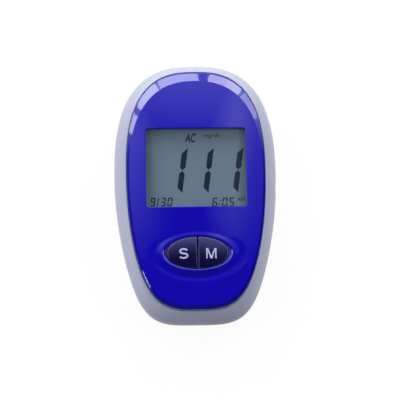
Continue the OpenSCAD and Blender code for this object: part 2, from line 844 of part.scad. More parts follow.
// Door: a flange that lies in the floor, a plug that fills the bay's mouth, two tabs at the port end
// and a latch tongue with a thumb ridge at the button end
module battery_door() {
    half = bay_wid / 2 + seat;
    plug = bay_wid / 2 - door_gap;
    tongue_wid = 8;
    tongue_len = 7;
    cut = 0.5;
    grip_count = 5;
    grip_start = 2;
    grip_pitch = 1.4;
    grip_deep = 0.3;
    latch_lo = bay_lo - seat;
    color(case_grey) difference() {
        union() {
            round_box([-half, latch_lo, 0], [half, bay_hi + seat, flange_t], 1.3);
            box([-plug, bay_lo + door_gap, flange_t / 2], [plug, bay_hi - door_gap, door_t]);
            for (side = [-1, 1]) translate([side * tab_x, 0, 0]) {
                box([-tab_wid / 2, bay_hi - tab_root, door_t / 2],
                    [tab_wid / 2, bay_hi - door_gap, tab_z + tab_t]);
                box([-tab_wid / 2, bay_hi - tab_root, tab_z],
                    [tab_wid / 2, bay_hi + seat + tab_reach, tab_z + tab_t]);
            }
        }
        for (side = [-1, 1]) translate([side * tongue_wid / 2, latch_lo, 0])
            box([-cut / 2, -1, -1], [cut / 2, tongue_len, door_t + 1]);
        for (k = [0:grip_count - 1]) translate([0, latch_lo + grip_start + grip_pitch * k, 0])
            box([-tongue_wid / 2 + 1, 0, -1], [tongue_wid / 2 - 1, grip_pitch / 2, grip_deep]);
    }
}

// ---------------------------------------------------------------- screws

module screw(x, y, head_r, head_h, r, seat_z, end_z) {
    color(metal) difference() {
        union() {
            post(x, y, head_r, seat_z - head_h, seat_z);
            post(x, y, r, seat_z - eps, end_z);
        }
        for (turn = [0, 90]) translate([x, y, seat_z - head_h]) rotate(turn)
            box([-head_r * 0.6, -0.2, -1], [head_r * 0.6, 0.2, head_h * 0.5]);
    }
}

module housing_screws() {
    for (p = posts) screw(p[0], p[1], screw_head_r, screw_head_h, screw_r, screw_seat_z, screw_end_z);
}

module board_screws() {
    for (p = board_points)
        screw(p[0], p[1], board_screw_head_r, board_screw_head_h, board_screw_r, board_z,
            board_z + board_screw_len);
}

// ---------------------------------------------------------------- nodes

rear_housing();
front_housing();
face_cover();
display_lens();
lcd_panel();
lcd_holder();
zebra_strip();
circuit_board();
microcontroller();
amplifier_chip();
memory_chip();
clock_crystal();
passive_parts();
buzzer();
strip_port();
strip_connector();
strip_contacts();
data_jack();
jack_contacts();
switch_bodies();
s_plunger();
m_plunger();
s_button();
m_button();
left_cell();
right_cell();
spring_terminal();
plate_terminal();
bridge_contact();
battery_door();
housing_screws();
board_screws();
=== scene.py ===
import json
import math

import bmesh
import bpy
from mathutils import Matrix, Vector
from mathutils.geometry import delaunay_2d_cdt

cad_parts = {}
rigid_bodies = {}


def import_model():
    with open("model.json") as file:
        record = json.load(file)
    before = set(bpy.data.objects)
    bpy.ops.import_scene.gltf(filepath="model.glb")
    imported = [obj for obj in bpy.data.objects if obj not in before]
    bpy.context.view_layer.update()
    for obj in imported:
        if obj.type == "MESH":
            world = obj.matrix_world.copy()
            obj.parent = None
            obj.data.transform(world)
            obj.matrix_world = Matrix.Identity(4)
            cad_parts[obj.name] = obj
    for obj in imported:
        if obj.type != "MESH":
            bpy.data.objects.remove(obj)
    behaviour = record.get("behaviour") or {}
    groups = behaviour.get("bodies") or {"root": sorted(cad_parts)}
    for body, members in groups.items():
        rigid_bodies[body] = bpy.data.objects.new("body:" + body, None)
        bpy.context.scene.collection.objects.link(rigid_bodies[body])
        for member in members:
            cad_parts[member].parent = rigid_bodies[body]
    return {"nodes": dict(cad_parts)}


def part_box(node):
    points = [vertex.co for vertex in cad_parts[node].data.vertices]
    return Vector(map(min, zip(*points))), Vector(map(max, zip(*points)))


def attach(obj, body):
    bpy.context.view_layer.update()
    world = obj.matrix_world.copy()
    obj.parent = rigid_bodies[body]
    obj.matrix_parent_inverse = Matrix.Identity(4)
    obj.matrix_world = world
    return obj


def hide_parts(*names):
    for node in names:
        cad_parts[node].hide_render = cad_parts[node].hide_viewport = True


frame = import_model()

# A blood glucose meter in its finished looks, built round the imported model.
# +Z points up through the display, +Y towards the strip port, X across.
# Shapes are worked out in millimetres, and raw_object() turns them into metres.

MM = 0.001
scene = bpy.context.scene
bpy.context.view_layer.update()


# ---------------------------------------------------------------- sizes

def node_box(name):
    """Lowest and highest corner of a CAD node, in millimetres."""
    low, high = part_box(name)
    return low / MM, high / MM


case_low, case_high = node_box("front_housing")
cover_low, cover_high = node_box("face_cover")
CASE_LEN = case_high.y - case_low.y
CASE_WID = case_high.x - case_low.x
SEAM_Z = case_low.z
RIM_Z = case_high.z
WALL = 1.8
CASE_WIDE = 4.9                   # how far the widest place lies from the middle, towards the port
CASE_SHAPE = (2.69, 3.96, 0.17)   # power at the port end, power at the button end, narrowing
BACK_ROUND = 6.0                  # how far the wall draws in towards the back
LIP_T = 0.85                      # the lip by which the two shells meet
LIP_H = 1.0

COVER_MORE = 0.95                 # how much further the cover reaches at the button end than the solid
COVER_LEN = cover_high.y - cover_low.y + COVER_MORE
COVER_WID = cover_high.x - cover_low.x
COVER_MID = (cover_high.y + cover_low.y - COVER_MORE) / 2
COVER_Z = cover_low.z
COVER_WIDE = CASE_WIDE + 0.45 + COVER_MORE / 2
COVER_SHAPE = (2.65, 3.25, 0.10)
BEVEL_END = 3.4                   # the bevel's width at the port end, along the sides, at the button end
BEVEL_SIDE = 0.75
BEVEL_LOW = 1.55
BEVEL_SHAPE = (2.40, 3.25, 0.10)
BEVEL_SLOPE = 0.588
BEVEL_BULGE = 0.012
CROWN = 1.0
GROOVE = 0.3
SKIRT_T = 1.4
LEDGE_WID = 1.6
LEDGE_T = 1.6

lens_low, lens_high = node_box("display_lens")
PANEL_Z = node_box("lcd_panel")[1].z
LENS_BORDER = 1.2
FACE_Z = lens_high.z
BEVEL_Z = FACE_Z + 1.0
WINDOW_HALF = (lens_high.x - LENS_BORDER, (lens_high.y - lens_low.y) / 2 - LENS_BORDER)
WINDOW_Y = (lens_high.y + lens_low.y) / 2
WINDOW_R = 0.9
WINDOW_EDGE = 0.12

key_low, key_high = node_box("s_button")
KEY_FLANGE = 0.9
BUTTON_Y = (key_low.y + key_high.y) / 2
BUTTON_A = -key_low.x - KEY_FLANGE
BUTTON_B = (key_high.y - key_low.y) / 2 - KEY_FLANGE
BUTTON_Z = key_high.z
SPLIT = 0.4
KEY_GAP = 0.25

EGG_STEPS = 240
OVAL_STEPS = 120
CORNER_STEPS = 8
ROUND = 48
WIRE_SIDES = 10
SNAP = 0.0001
PAST = 1.0                        # how far a cutter reaches past what it cuts


# ---------------------------------------------------------------- outlines

def circle(sides, shift=0.0):
    """Cosine and sine at even steps round a circle, shifted by a share of a step."""
    angles = [math.tau * (i + shift) / sides for i in range(sides)]
    return [(math.cos(angle), math.sin(angle)) for angle in angles]


def egg(length, width, mid, wide, shape):
    """Egg outline, counter-clockwise. Its widest place lies at mid + wide."""
    n_top, n_low, taper = shape
    points = []
    for c, s in circle(EGG_STEPS):
        power = n_top if s >= 0 else n_low
        reach = (abs(c) ** power + abs(s) ** power) ** (-1 / power)
        down = 0 if s >= 0 else -reach * s
        half = length / 2 - wide if s >= 0 else length / 2 + wide
        points.append((width / 2 * reach * c * (1 - taper * down * down * (3 - 2 * down)),
                       mid + wide + half * reach * s))
    return points


def case_egg(inset):
    """Outline of the case, smaller by an inset."""
    return egg(CASE_LEN - 2 * inset, CASE_WID - 2 * inset, 0, CASE_WIDE, CASE_SHAPE)


def cover_egg(inset):
    """Outline of the cover, smaller by an inset."""
    return egg(COVER_LEN - 2 * inset, COVER_WID - 2 * inset, COVER_MID, COVER_WIDE, COVER_SHAPE)


def bevel_egg():
    """Inner edge of the cover's bevel: narrow along the sides, wide at the port end."""
    shift = (BEVEL_END - BEVEL_LOW) / 2
    return egg(COVER_LEN - BEVEL_LOW - BEVEL_END, COVER_WID - 2 * BEVEL_SIDE, COVER_MID - shift,
               COVER_WIDE + shift, BEVEL_SHAPE)


def oval(a, b):
    """Oval round the middle of the two keys."""
    return [(a * c, BUTTON_Y + b * s) for c, s in circle(OVAL_STEPS)]


def rounded_rectangle(low, high, radius, per_side=30):
    """Rectangle with rounded corners, counter-clockwise."""
    points = []
    corners = [(high[0] - radius, high[1] - radius), (low[0] + radius, high[1] - radius),
               (low[0] + radius, low[1] + radius), (high[0] - radius, low[1] + radius)]
    for k, (cx, cy) in enumerate(corners):
        for i in range(CORNER_STEPS + 1):
            angle = math.pi / 2 * (k + i / CORNER_STEPS)
            points.append((cx + radius * math.cos(angle), cy + radius * math.sin(angle)))
        start, nxt = points[-1], corners[(k + 1) % 4]
        turn = math.pi / 2 * (k + 1)
        end = (nxt[0] + radius * math.cos(turn), nxt[1] + radius * math.sin(turn))
        points += [tuple(blend(start, end, i / per_side)) for i in range(1, per_side)]
    return points


def window_outline(out=0.0):
    """Outline of the window, moved out by a distance."""
    half_x, half_y = WINDOW_HALF
    return rounded_rectangle((-half_x - out, WINDOW_Y - half_y - out),
                             (half_x + out, WINDOW_Y + half_y + out), WINDOW_R + out)


def blend(start, end, share):
    """The point or value tuple a share of the way from start to end."""
    return [a + (b - a) * share for a, b in zip(start, end)]


def mixed(first, second, share):
    """An outline a share of the way from one outline to another."""
    return [blend(p, q, share) for p, q in zip(first, second)]


def moved_in(outline, distance):
    """A counter-clockwise outline moved in along its own normals."""
    made = []
    for i, (x, y) in enumerate(outline):
        before, after = outline[i - 1], outline[(i + 1) % len(outline)]
        tx, ty = after[0] - before[0], after[1] - before[1]
        size = math.hypot(tx, ty)
        made.append((x - distance * ty / size, y + distance * tx / size))
    return made


def at(outline, z):
    """An outline lifted to a height."""
    return [(x, y, z) for x, y in outline]


def stacked(outline_of, steps):
    """Rings of an outline at pairs of inset and height."""
    return [at(outline_of(inset), z) for inset, z in steps]


def fillet_drop(distance, radius):
    """How far a rounded edge lies below its face, at a distance in from the edge."""
    if distance >= radius:
        return 0.0
    if distance < SNAP:
        return radius
    return radius - math.sqrt(max(radius ** 2 - (radius - distance) ** 2, 0))


# ---------------------------------------------------------------- mesh shapes

class Shape:
    """Points in millimetres and the faces between them."""

    def __init__(self, points=(), faces=()):
        self.points = [tuple(p) for p in points]
        self.faces = [tuple(f) for f in faces]

    def __add__(self, other):
        start = len(self.points)
        return Shape(self.points + other.points,
                     self.faces + [tuple(start + i for i in f) for f in other.faces])

    def mapped(self, change):
        """The shape with every point changed."""
        return Shape([change(*p) for p in self.points], self.faces)

    def moved(self, dx, dy, dz):
        """The shape at another place."""
        return self.mapped(lambda x, y, z: (x + dx, y + dy, z + dz))

    def spun(self, x, y, turn):
        """The shape turned about an upright axis, and moved to a place."""
        c, s = math.cos(turn), math.sin(turn)
        return self.mapped(lambda u, v, z: (x + u * c - v * s, y + u * s + v * c, z))

    def turned_over(self):
        """The shape with its faces looking the other way."""
        return Shape(self.points, [f[::-1] for f in self.faces])


def skin(rings, low=True, high=True, loop=False):
    """Surface through stacked counter-clockwise rings, from the bottom up, with optional caps."""
    count = len(rings[0])
    points = [p for ring in rings for p in ring]
    pairs = [(k, k + 1) for k in range(len(rings) - 1)]
    if loop:
        pairs.append((len(rings) - 1, 0))
    faces = []
    for a, b in pairs:
        for i in range(count):
            j = (i + 1) % count
            faces.append((a * count + i, a * count + j, b * count + j, b * count + i))
    if low and not loop:
        faces.append(tuple(reversed(range(count))))
    if high and not loop:
        faces.append(tuple((len(rings) - 1) * count + i for i in range(count)))
    return Shape(points, faces)


def turned(profile, centre=(0, 0, 0), axis="Z", sides=ROUND):
    """Solid of revolution. The profile is a list of (radius, height) from the bottom up."""
    rings = [[(r * c, r * s, h) for c, s in circle(sides)] for r, h in profile]
    spin = {"Z": lambda x, y, z: (x, y, z), "X": lambda x, y, z: (z, x, y),
            "Y": lambda x, y, z: (y, z, x)}[axis]
    return skin(rings).mapped(spin).moved(*centre)


def rim_steps(low, high, edge, low_edge, steps=4):
    """Pairs of inset and height that round the lower and the upper rim of an upright solid."""
    turns = [math.pi / 2 * k / steps for k in range(steps + 1)]
    lower = [(low_edge * (1 - math.sin(t)), low + low_edge * (1 - math.cos(t))) for t in turns]
    upper = [(edge * (1 - math.cos(t)), high - edge * (1 - math.sin(t))) for t in turns]
    return (lower if low_edge else [(0.0, low)]) + (upper if edge else [(0.0, high)])


def bar_profile(radius, low, high, edge=0.0):
    """Profile of a round bar with rounded rims."""
    return [(radius - inset, z) for inset, z in rim_steps(low, high, edge, edge)]


def bar(x, y, radius, low, high, edge=0.0):
    """Upright round bar."""
    return turned(bar_profile(radius, low, high, edge), (x, y, 0))


def block(low, high, edge=0.0):
    """Box between two corners, with rounded edges."""
    corners = [(x, y, z) for z in (low[2], high[2]) for y in (low[1], high[1])
               for x in (low[0], high[0])]
    faces = [(0, 2, 3, 1), (4, 5, 7, 6), (0, 1, 5, 4), (2, 6, 7, 3), (0, 4, 6, 2), (1, 3, 7, 5)]
    if not edge:
        return Shape(corners, faces)
    mesh = bmesh.new()
    made = [mesh.verts.new(p) for p in corners]
    for f in faces:
        mesh.faces.new([made[i] for i in f])
    bmesh.ops.bevel(mesh, geom=list(mesh.edges), offset=edge, segments=3, profile=0.5,
                    affect="EDGES")
    mesh.verts.index_update()
    shape = Shape([v.co for v in mesh.verts], [[v.index for v in f.verts] for f in mesh.faces])
    mesh.free()
    return shape


def slab(outline, low, high, edge=0.0, low_edge=0.0):
    """Flat solid on an outline, with rounded rims."""
    return skin([at(moved_in(outline, inset), z) for inset, z in rim_steps(low, high, edge, low_edge)])


def wire(path, radius):
    """Round wire along a path of points, with closed ends."""
    rings = []
    side = None
    for i, p in enumerate(path):
        ahead = Vector(path[min(i + 1, len(path) - 1)]) - Vector(path[max(i - 1, 0)])
        ahead.normalize()
        side = ahead.orthogonal().normalized() if side is None else side
        side = (side - ahead * side.dot(ahead)).normalized()
        other = ahead.cross(side)
        rings.append([tuple(Vector(p) + (side * c + other * s) * radius)
                      for c, s in circle(WIRE_SIDES)])
    return skin(rings)


def along_y(outlines):
    """Solid through outlines in X and Z, given as pairs of a place along Y and an outline."""
    return skin([[(x, y, z) for x, z in outline] for y, outline in outlines]).turned_over()


def filled(loops, loose=(), height=lambda x, y: 0):
    """Triangles inside the first loop and outside the others, lifted to height(x, y)."""
    points, edges = [], []
    for loop in loops:
        start = len(points)
        points += [Vector(p) for p in loop]
        edges += [(start + i, start + (i + 1) % len(loop)) for i in range(len(loop))]
    points += [Vector(p) for p in loose]
    verts, _, faces, *_ = delaunay_2d_cdt(points, edges, [], 0, 1e-6)
    kept = []
    for face in faces:
        x = sum(verts[i].x for i in face) / len(face)
        y = sum(verts[i].y for i in face) / len(face)
        if inside(x, y, loops[0]) and not any(inside(x, y, hole) for hole in loops[1:]):
            kept.append(face)
    return Shape([(v.x, v.y, height(v.x, v.y)) for v in verts], kept)


def inside(x, y, outline):
    """Whether a point lies inside an outline."""
    hit = False
    for (x0, y0), (x1, y1) in zip(outline, outline[1:] + outline[:1]):
        if (y0 > y) != (y1 > y) and x < x0 + (x1 - x0) * (y - y0) / (y1 - y0):
            hit = not hit
    return hit


# ---------------------------------------------------------------- pieces

def raw_object(name, shape):
    """Blender object of a shape, in metres, with points that lie together joined."""
    mesh = bpy.data.meshes.new(name)
    mesh.from_pydata([[c * MM for c in p] for p in shape.points], [], shape.faces)
    edit = bmesh.new()
    edit.from_mesh(mesh)
    bmesh.ops.remove_doubles(edit, verts=edit.verts, dist=1e-7)
    bmesh.ops.dissolve_degenerate(edit, edges=edit.edges, dist=1e-8)
    stray = [v for v in edit.verts if not v.link_faces]
    bmesh.ops.delete(edit, geom=stray, context="VERTS")
    edit.to_mesh(mesh)
    edit.free()
    mesh.validate()
    obj = bpy.data.objects.new(name, mesh)
    scene.collection.objects.link(obj)
    return obj


def with_tools(obj, shapes, operation):
    """Joins shapes to an object, cuts them out of it or trims it to them, with exact booleans."""
    box = bpy.data.collections.new("tools")
    scene.collection.children.link(box)
    for shape in shapes:
        tool = raw_object("tool", shape)
        scene.collection.objects.unlink(tool)
        box.objects.link(tool)
    modifier = obj.modifiers.new("tools", "BOOLEAN")
    modifier.operation = operation
    modifier.operand_type = "COLLECTION"
    modifier.collection = box
    modifier.solver = "EXACT"
    graph = bpy.context.evaluated_depsgraph_get()
    mesh = bpy.data.meshes.new_from_object(obj.evaluated_get(graph))
    obj.modifiers.clear()
    obj.data = mesh
    for tool in list(box.objects):
        bpy.data.objects.remove(tool)
    bpy.data.collections.remove(box)


def piece(name, shape, material, body, stands_for=(), join=(), cut=(), within=(), sharp=35):
    """One piece of the meter, with its finish, its shading, its body and the nodes it replaces.
    Other shapes are joined to it or cut out of it, and it is trimmed to those that it is within."""
    obj = raw_object(name, shape)
    for shapes, operation in ((join, "UNION"), (cut, "DIFFERENCE"), (within, "INTERSECT")):
        if shapes:
            with_tools(obj, shapes, operation)
    mesh = obj.data
    mesh.materials.clear()
    mesh.materials.append(material)
    mesh.polygons.foreach_set("use_smooth", [True] * len(mesh.polygons))
    mesh.set_sharp_from_angle(angle=math.radians(sharp))
    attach(obj, body)
    if stands_for:
        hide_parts(*stands_for)


def lettering(text, height, low, bold):
    """Flat letters of a given height whose lowest left corner is at low."""
    font = bpy.data.curves.new("letters", "FONT")
    font.body = text
    font.size = 1
    font.offset = bold
    holder = bpy.data.objects.new("letters", font)
    scene.collection.objects.link(holder)
    graph = bpy.context.evaluated_depsgraph_get()
    mesh = bpy.data.meshes.new_from_object(holder.evaluated_get(graph))
    bpy.data.objects.remove(holder)
    edit = bmesh.new()
    edit.from_mesh(mesh)
    bmesh.ops.remove_doubles(edit, verts=edit.verts, dist=1e-4)
    left = min(v.co.x for v in edit.verts)
    base = min(v.co.y for v in edit.verts)
    scale = height / (max(v.co.y for v in edit.verts) - base)
    for v in edit.verts:
        v.co = Vector((low[0] + (v.co.x - left) * scale, low[1] + (v.co.y - base) * scale, 0))
    bmesh.ops.triangulate(edit, faces=edit.faces)
    edit.verts.index_update()
    shape = Shape([v.co for v in edit.verts], [[v.index for v in f.verts] for f in edit.faces])
    edit.free()
    return shape


def raised(flat, base, thickness):
    """Closed thin print on a surface: flat letters lifted to base(x, y), with a thickness."""
    count = len(flat.points)
    lower = [(x, y, base(x, y)) for x, y, _ in flat.points]
    upper = [(x, y, z + thickness) for x, y, z in lower]
    edges = [pair for face in flat.faces for pair in zip(face, face[1:] + face[:1])]
    inner = set(edges)
    made = [tuple(i + count for i in f) for f in flat.faces] + [f[::-1] for f in flat.faces]
    made += [(a, b, b + count, a + count) for a, b in edges if (b, a) not in inner]
    return Shape(lower + upper, made)


# ---------------------------------------------------------------- shader helpers

def add_node(tree, kind, inputs=None, **settings):
    """Shader node with its settings and inputs. An input takes a value or another node's output."""
    made = tree.nodes.new(kind)
    for key, value in settings.items():
        setattr(made, key, value)
    for key, value in (inputs or {}).items():
        if isinstance(value, bpy.types.NodeSocket):
            tree.links.new(value, made.inputs[key])
        else:
            made.inputs[key].default_value = value
    return made


def new_group(name, inputs, outputs):
    """Empty node group. Inputs are (name, socket type, value), outputs (name, socket type)."""
    tree = bpy.data.node_groups.new(name, "ShaderNodeTree")
    for label, kind, value in inputs:
        tree.interface.new_socket(name=label, in_out="INPUT", socket_type=kind).default_value = value
    for label, kind in outputs:
        tree.interface.new_socket(name=label, in_out="OUTPUT", socket_type=kind)
    source = tree.nodes.new("NodeGroupInput")
    sink = tree.nodes.new("NodeGroupOutput")
    return tree, source.outputs, sink.inputs


def mapped_range(tree, value, start, end, low=0.0, high=1.0):
    """A value's place from start to end, put between low and high, which may be sockets."""
    return add_node(tree, "ShaderNodeMapRange", {"Value": value, "From Min": start, "From Max": end,
                                                 "To Min": low, "To Max": high}).outputs["Result"]


def math_of(tree, operation, first, second, clamp=False):
    """A sum on two values, each a number or a socket."""
    return add_node(tree, "ShaderNodeMath", {0: first, 1: second}, operation=operation,
                    use_clamp=clamp).outputs["Value"]


def scaled(tree, colour, level):
    """A colour made lighter or darker by a level."""
    return add_node(tree, "ShaderNodeVectorMath", {0: colour, "Scale": level}, operation="SCALE"
                    ).outputs["Vector"]


def vector_math(tree, operation, first, second, output="Vector"):
    """A sum on two vectors or colours."""
    return add_node(tree, "ShaderNodeVectorMath", {0: first, 1: second}, operation=operation
                    ).outputs[output]


def colour_mix(tree, share, first, second):
    """A colour a share of the way from the first to the second."""
    return add_node(tree, "ShaderNodeMix", {"Factor": share, "A": first, "B": second}, data_type="RGBA"
                    ).outputs["Result"]


def noise_of(tree, place, scale, detail, **more):
    """Soft random pattern over the surface."""
    return add_node(tree, "ShaderNodeTexNoise", {"Vector": place, "Scale": scale, "Detail": detail,
                                                 **more}).outputs["Fac"]


def object_place(tree):
    """The place on the object, to which patterns are tied."""
    return add_node(tree, "ShaderNodeTexCoord").outputs["Object"]


def rgb(red, green, blue):
    """A colour as the sockets take it, with full alpha."""
    return (red, green, blue, 1.0)


FLOAT, COLOUR = "NodeSocketFloat", "NodeSocketColor"


def grain_group():
    """Fine moulded grain with a slow waviness under it."""
    tree, source, sink = new_group(
        "moulded_grain", [("Scale", FLOAT, 2500.0), ("Wave", FLOAT, 0.3)], [("Height", FLOAT)])
    place = object_place(tree)
    fine = noise_of(tree, place, source["Scale"], 3.0, Roughness=0.6)
    slow = noise_of(tree, place, 90.0, 1.0)
    mix = add_node(tree, "ShaderNodeMix", {"Factor": source["Wave"], "A": fine, "B": slow})
    tree.links.new(mix.outputs["Result"], sink["Height"])
    return tree


def wear_group():
    """Mask along outer edges, broken up as by handling."""
    tree, source, sink = new_group(
        "edge_wear", [("Radius", FLOAT, 0.0004), ("Amount", FLOAT, 0.5)], [("Mask", FLOAT)])
    soft = add_node(tree, "ShaderNodeBevel", {"Radius": source["Radius"]}, samples=4).outputs["Normal"]
    hard = add_node(tree, "ShaderNodeNewGeometry").outputs["Normal"]
    turn = vector_math(tree, "DOT_PRODUCT", soft, hard, "Value")
    edge = mapped_range(tree, turn, 0.98, 0.75)
    broken = mapped_range(tree, noise_of(tree, object_place(tree), 420.0, 4.0), 0.35, 0.65)
    both = math_of(tree, "MULTIPLY", edge, broken)
    tree.links.new(math_of(tree, "MULTIPLY", both, source["Amount"], clamp=True), sink["Mask"])
    return tree


def handling_group():
    """Roughness that varies between two values with faint smudges and fine scratches."""
    tree, source, sink = new_group(
        "handling", [("Low", FLOAT, 0.2), ("High", FLOAT, 0.4), ("Scale", FLOAT, 60.0)],
        [("Roughness", FLOAT)])
    place = object_place(tree)
    smudge = noise_of(tree, place, source["Scale"], 4.0, Distortion=1.2)
    stretch = add_node(tree, "ShaderNodeMapping", {"Vector": place, "Rotation": (0.0, 0.0, 0.6),
                                                   "Scale": (1.0, 14.0, 1.0)}).outputs["Vector"]
    scratch = mapped_range(tree, noise_of(tree, stretch, 300.0, 2.0), 0.62, 0.75, high=0.35)
    total = math_of(tree, "ADD", smudge, scratch, clamp=True)
    tree.links.new(mapped_range(tree, total, 0.0, 1.0, source["Low"], source["High"]),
                   sink["Roughness"])
    return tree


def drift_group():
    """Colour that drifts slightly lighter and darker, with worn edges laid over it."""
    tree, source, sink = new_group(
        "colour_drift",
        [("Colour", COLOUR, (0.5, 0.5, 0.5, 1)), ("Worn", COLOUR, (0.7, 0.7, 0.7, 1)),
         ("Wear", FLOAT, 0.0), ("Drift", FLOAT, 0.08), ("Scale", FLOAT, 80.0)],
        [("Colour", COLOUR)])
    cloud = noise_of(tree, object_place(tree), source["Scale"], 3.0)
    low, high = (math_of(tree, way, 1.0, source["Drift"]) for way in ("SUBTRACT", "ADD"))
    shade = scaled(tree, source["Colour"], mapped_range(tree, cloud, 0.0, 1.0, low, high))
    tree.links.new(colour_mix(tree, source["Wear"], shade, source["Worn"]), sink["Colour"])
    return tree


GRAIN = grain_group()
WEAR = wear_group()
HANDLING = handling_group()
DRIFT = drift_group()


# ---------------------------------------------------------------- finishes

def placed(tree, group, inputs):
    """A node group put into a material with its own values."""
    return add_node(tree, "ShaderNodeGroup", inputs, node_tree=group).outputs


def new_material(name):
    """Material with nodes, and its node tree."""
    material = bpy.data.materials.new(name)
    material.use_nodes = True
    return material, material.node_tree


def finish_of(name, colour, rough, worn=None, wear=0.0, edge=0.0003, drift=0.06, drift_scale=80.0,
              grain=2500.0, wave=0.3, depth=0.00001, smudge=60.0, **constants):
    """Material whose colour, roughness and relief vary over the surface. Constants go on the shader."""
    material, tree = new_material(name)
    shader = tree.nodes["Principled BSDF"]
    mask = placed(tree, WEAR, {"Radius": edge, "Amount": wear})["Mask"] if wear else 0.0
    shade = placed(tree, DRIFT, {"Colour": rgb(*colour), "Worn": rgb(*(worn or colour)),
                                 "Wear": mask, "Drift": drift, "Scale": drift_scale})["Colour"]
    gloss = placed(tree, HANDLING, {"Low": rough[0], "High": rough[1], "Scale": smudge})["Roughness"]
    relief = placed(tree, GRAIN, {"Scale": grain, "Wave": wave})["Height"]
    bump = add_node(tree, "ShaderNodeBump", {"Height": relief, "Strength": 0.6, "Distance": depth})
    tree.links.new(shade, shader.inputs["Base Color"])
    tree.links.new(gloss, shader.inputs["Roughness"])
    tree.links.new(bump.outputs["Normal"], shader.inputs["Normal"])
    for label, value in constants.items():
        shader.inputs[label.replace("_", " ")].default_value = value
    return material


def cover_finish():
    """Deep blue gloss. Steep faces, the bevel among them, get a darker blue painted on as shade."""
    material = finish_of("gloss_cover", COVER_COLOUR, (0.04, 0.09), (0.03, 0.02, 0.5), wear=0.3,
                         edge=0.0002, drift=0.05, grain=700.0, wave=0.7, depth=0.000002, IOR=1.5,
                         Specular_IOR_Level=1.0)
    tree = material.node_tree
    shade = next(n for n in tree.nodes if n.type == "GROUP" and n.node_tree == DRIFT)
    normal = add_node(tree, "ShaderNodeNewGeometry").outputs["True Normal"]
    upward = add_node(tree, "ShaderNodeSeparateXYZ", {"Vector": normal}).outputs["Z"]
    # painted shade: the blue darkens as the face turns steeper
    painted_shade = mapped_range(tree, upward, 0.97, 0.90)
    tree.links.new(colour_mix(tree, painted_shade, rgb(*COVER_COLOUR), rgb(*COVER_SHADE_PAINT)),
                   shade.inputs["Colour"])
    return material


def clear_window():
    """Clear plastic that lets light through to the panel under it."""
    material, tree = new_material("clear_window")
    shader = tree.nodes["Principled BSDF"]
    gloss = placed(tree, HANDLING, {"Low": 0.0, "High": 0.006, "Scale": 45.0})["Roughness"]
    tint = placed(tree, DRIFT, {"Colour": rgb(0.93, 0.96, 0.99), "Worn": rgb(1, 1, 1), "Wear": 0.0,
                                "Drift": 0.01, "Scale": 60.0})["Colour"]
    tree.links.new(gloss, shader.inputs["Roughness"])
    tree.links.new(tint, shader.inputs["Base Color"])
    shader.inputs["Transmission Weight"].default_value = 1.0
    shader.inputs["IOR"].default_value = 1.45
    path = tree.nodes.new("ShaderNodeLightPath")
    clear = add_node(tree, "ShaderNodeBsdfTransparent", {"Color": rgb(0.95, 0.97, 1.0)})
    mix = add_node(tree, "ShaderNodeMixShader", {0: path.outputs["Is Shadow Ray"],
                                                 1: shader.outputs["BSDF"], 2: clear.outputs["BSDF"]})
    tree.links.new(mix.outputs["Shader"], tree.nodes["Material Output"].inputs["Surface"])
    return material


CASE_GREY = finish_of("satin_case", (0.470, 0.484, 0.590), (0.36, 0.52), (0.62, 0.62, 0.66), wear=0.35,
                      drift=0.035, grain=3800.0, wave=0.15, depth=0.000012, Coat_Weight=0.12,
                      Coat_Roughness=0.3)
COVER_COLOUR = (0.0075, 0.003, 0.44)
# darker blue painted on steep faces as shade
COVER_SHADE_PAINT = (0.0065, 0.003, 0.34)
COVER_BLUE = cover_finish()
KEY_DARK = finish_of("gloss_key", (0.0030, 0.0030, 0.046), (0.17, 0.24), (0.02, 0.02, 0.1),
                     wear=0.2, edge=0.0002, drift=0.08, grain=900.0, depth=0.000003, IOR=1.9,
                     Specular_IOR_Level=1.0, Specular_Tint=rgb(0.4, 0.4, 1.0))
LEGEND_PRINT = finish_of("pale_print", (0.52, 0.52, 0.78), (0.35, 0.5), drift=0.05, drift_scale=400.0,
                         grain=4000.0, depth=0.000004)
PANEL_GLASS = finish_of("panel_glass", (0.126, 0.169, 0.196), (0.16, 0.24), drift=0.03,
                        drift_scale=50.0, grain=1600.0, wave=0.6, depth=0.000001, IOR=1.5)
SEGMENT_INK = finish_of("segment_ink", (0.006, 0.015, 0.030), (0.5, 0.6), drift=0.12,
                        drift_scale=500.0, grain=3000.0, depth=0.000001, Specular_IOR_Level=0.1)
HOLDER_WHITE = finish_of("holder_white", (0.74, 0.73, 0.68), (0.4, 0.55), (0.8, 0.8, 0.78), wear=0.3)
ELASTOMER = finish_of("elastomer_amber", (0.52, 0.26, 0.06), (0.5, 0.7), drift=0.15,
                      drift_scale=300.0, depth=0.00003)
PORT_GREY = finish_of("port_plastic", (0.42, 0.43, 0.49), (0.32, 0.46), (0.6, 0.6, 0.64), wear=0.5,
                      drift=0.05, grain=3800.0, wave=0.2, depth=0.000012)
CONNECTOR_CREAM = finish_of("connector_cream", (0.72, 0.67, 0.54), (0.4, 0.55), (0.8, 0.78, 0.7),
                            wear=0.3, drift=0.06)
JACK_GREY = finish_of("jack_plastic", (0.36, 0.37, 0.43), (0.3, 0.44), (0.55, 0.55, 0.6), wear=0.5,
                      drift=0.05, grain=3800.0, wave=0.2, depth=0.000012)
BOARD_MASK = finish_of("solder_mask", (0.008, 0.085, 0.030), (0.22, 0.36), (0.03, 0.16, 0.07),
                       wear=0.3, drift=0.22, drift_scale=260.0, grain=900.0, depth=0.00002,
                       Coat_Weight=0.3)
CHIP_BLACK = finish_of("chip_resin", (0.014, 0.014, 0.016), (0.5, 0.66), (0.05, 0.05, 0.055),
                       wear=0.5, drift=0.2, grain=6000.0, depth=0.00002)
CERAMIC = finish_of("ceramic_chip", (0.42, 0.29, 0.16), (0.4, 0.6), (0.7, 0.7, 0.7), wear=0.8,
                    edge=0.0002, drift=0.2, drift_scale=500.0)
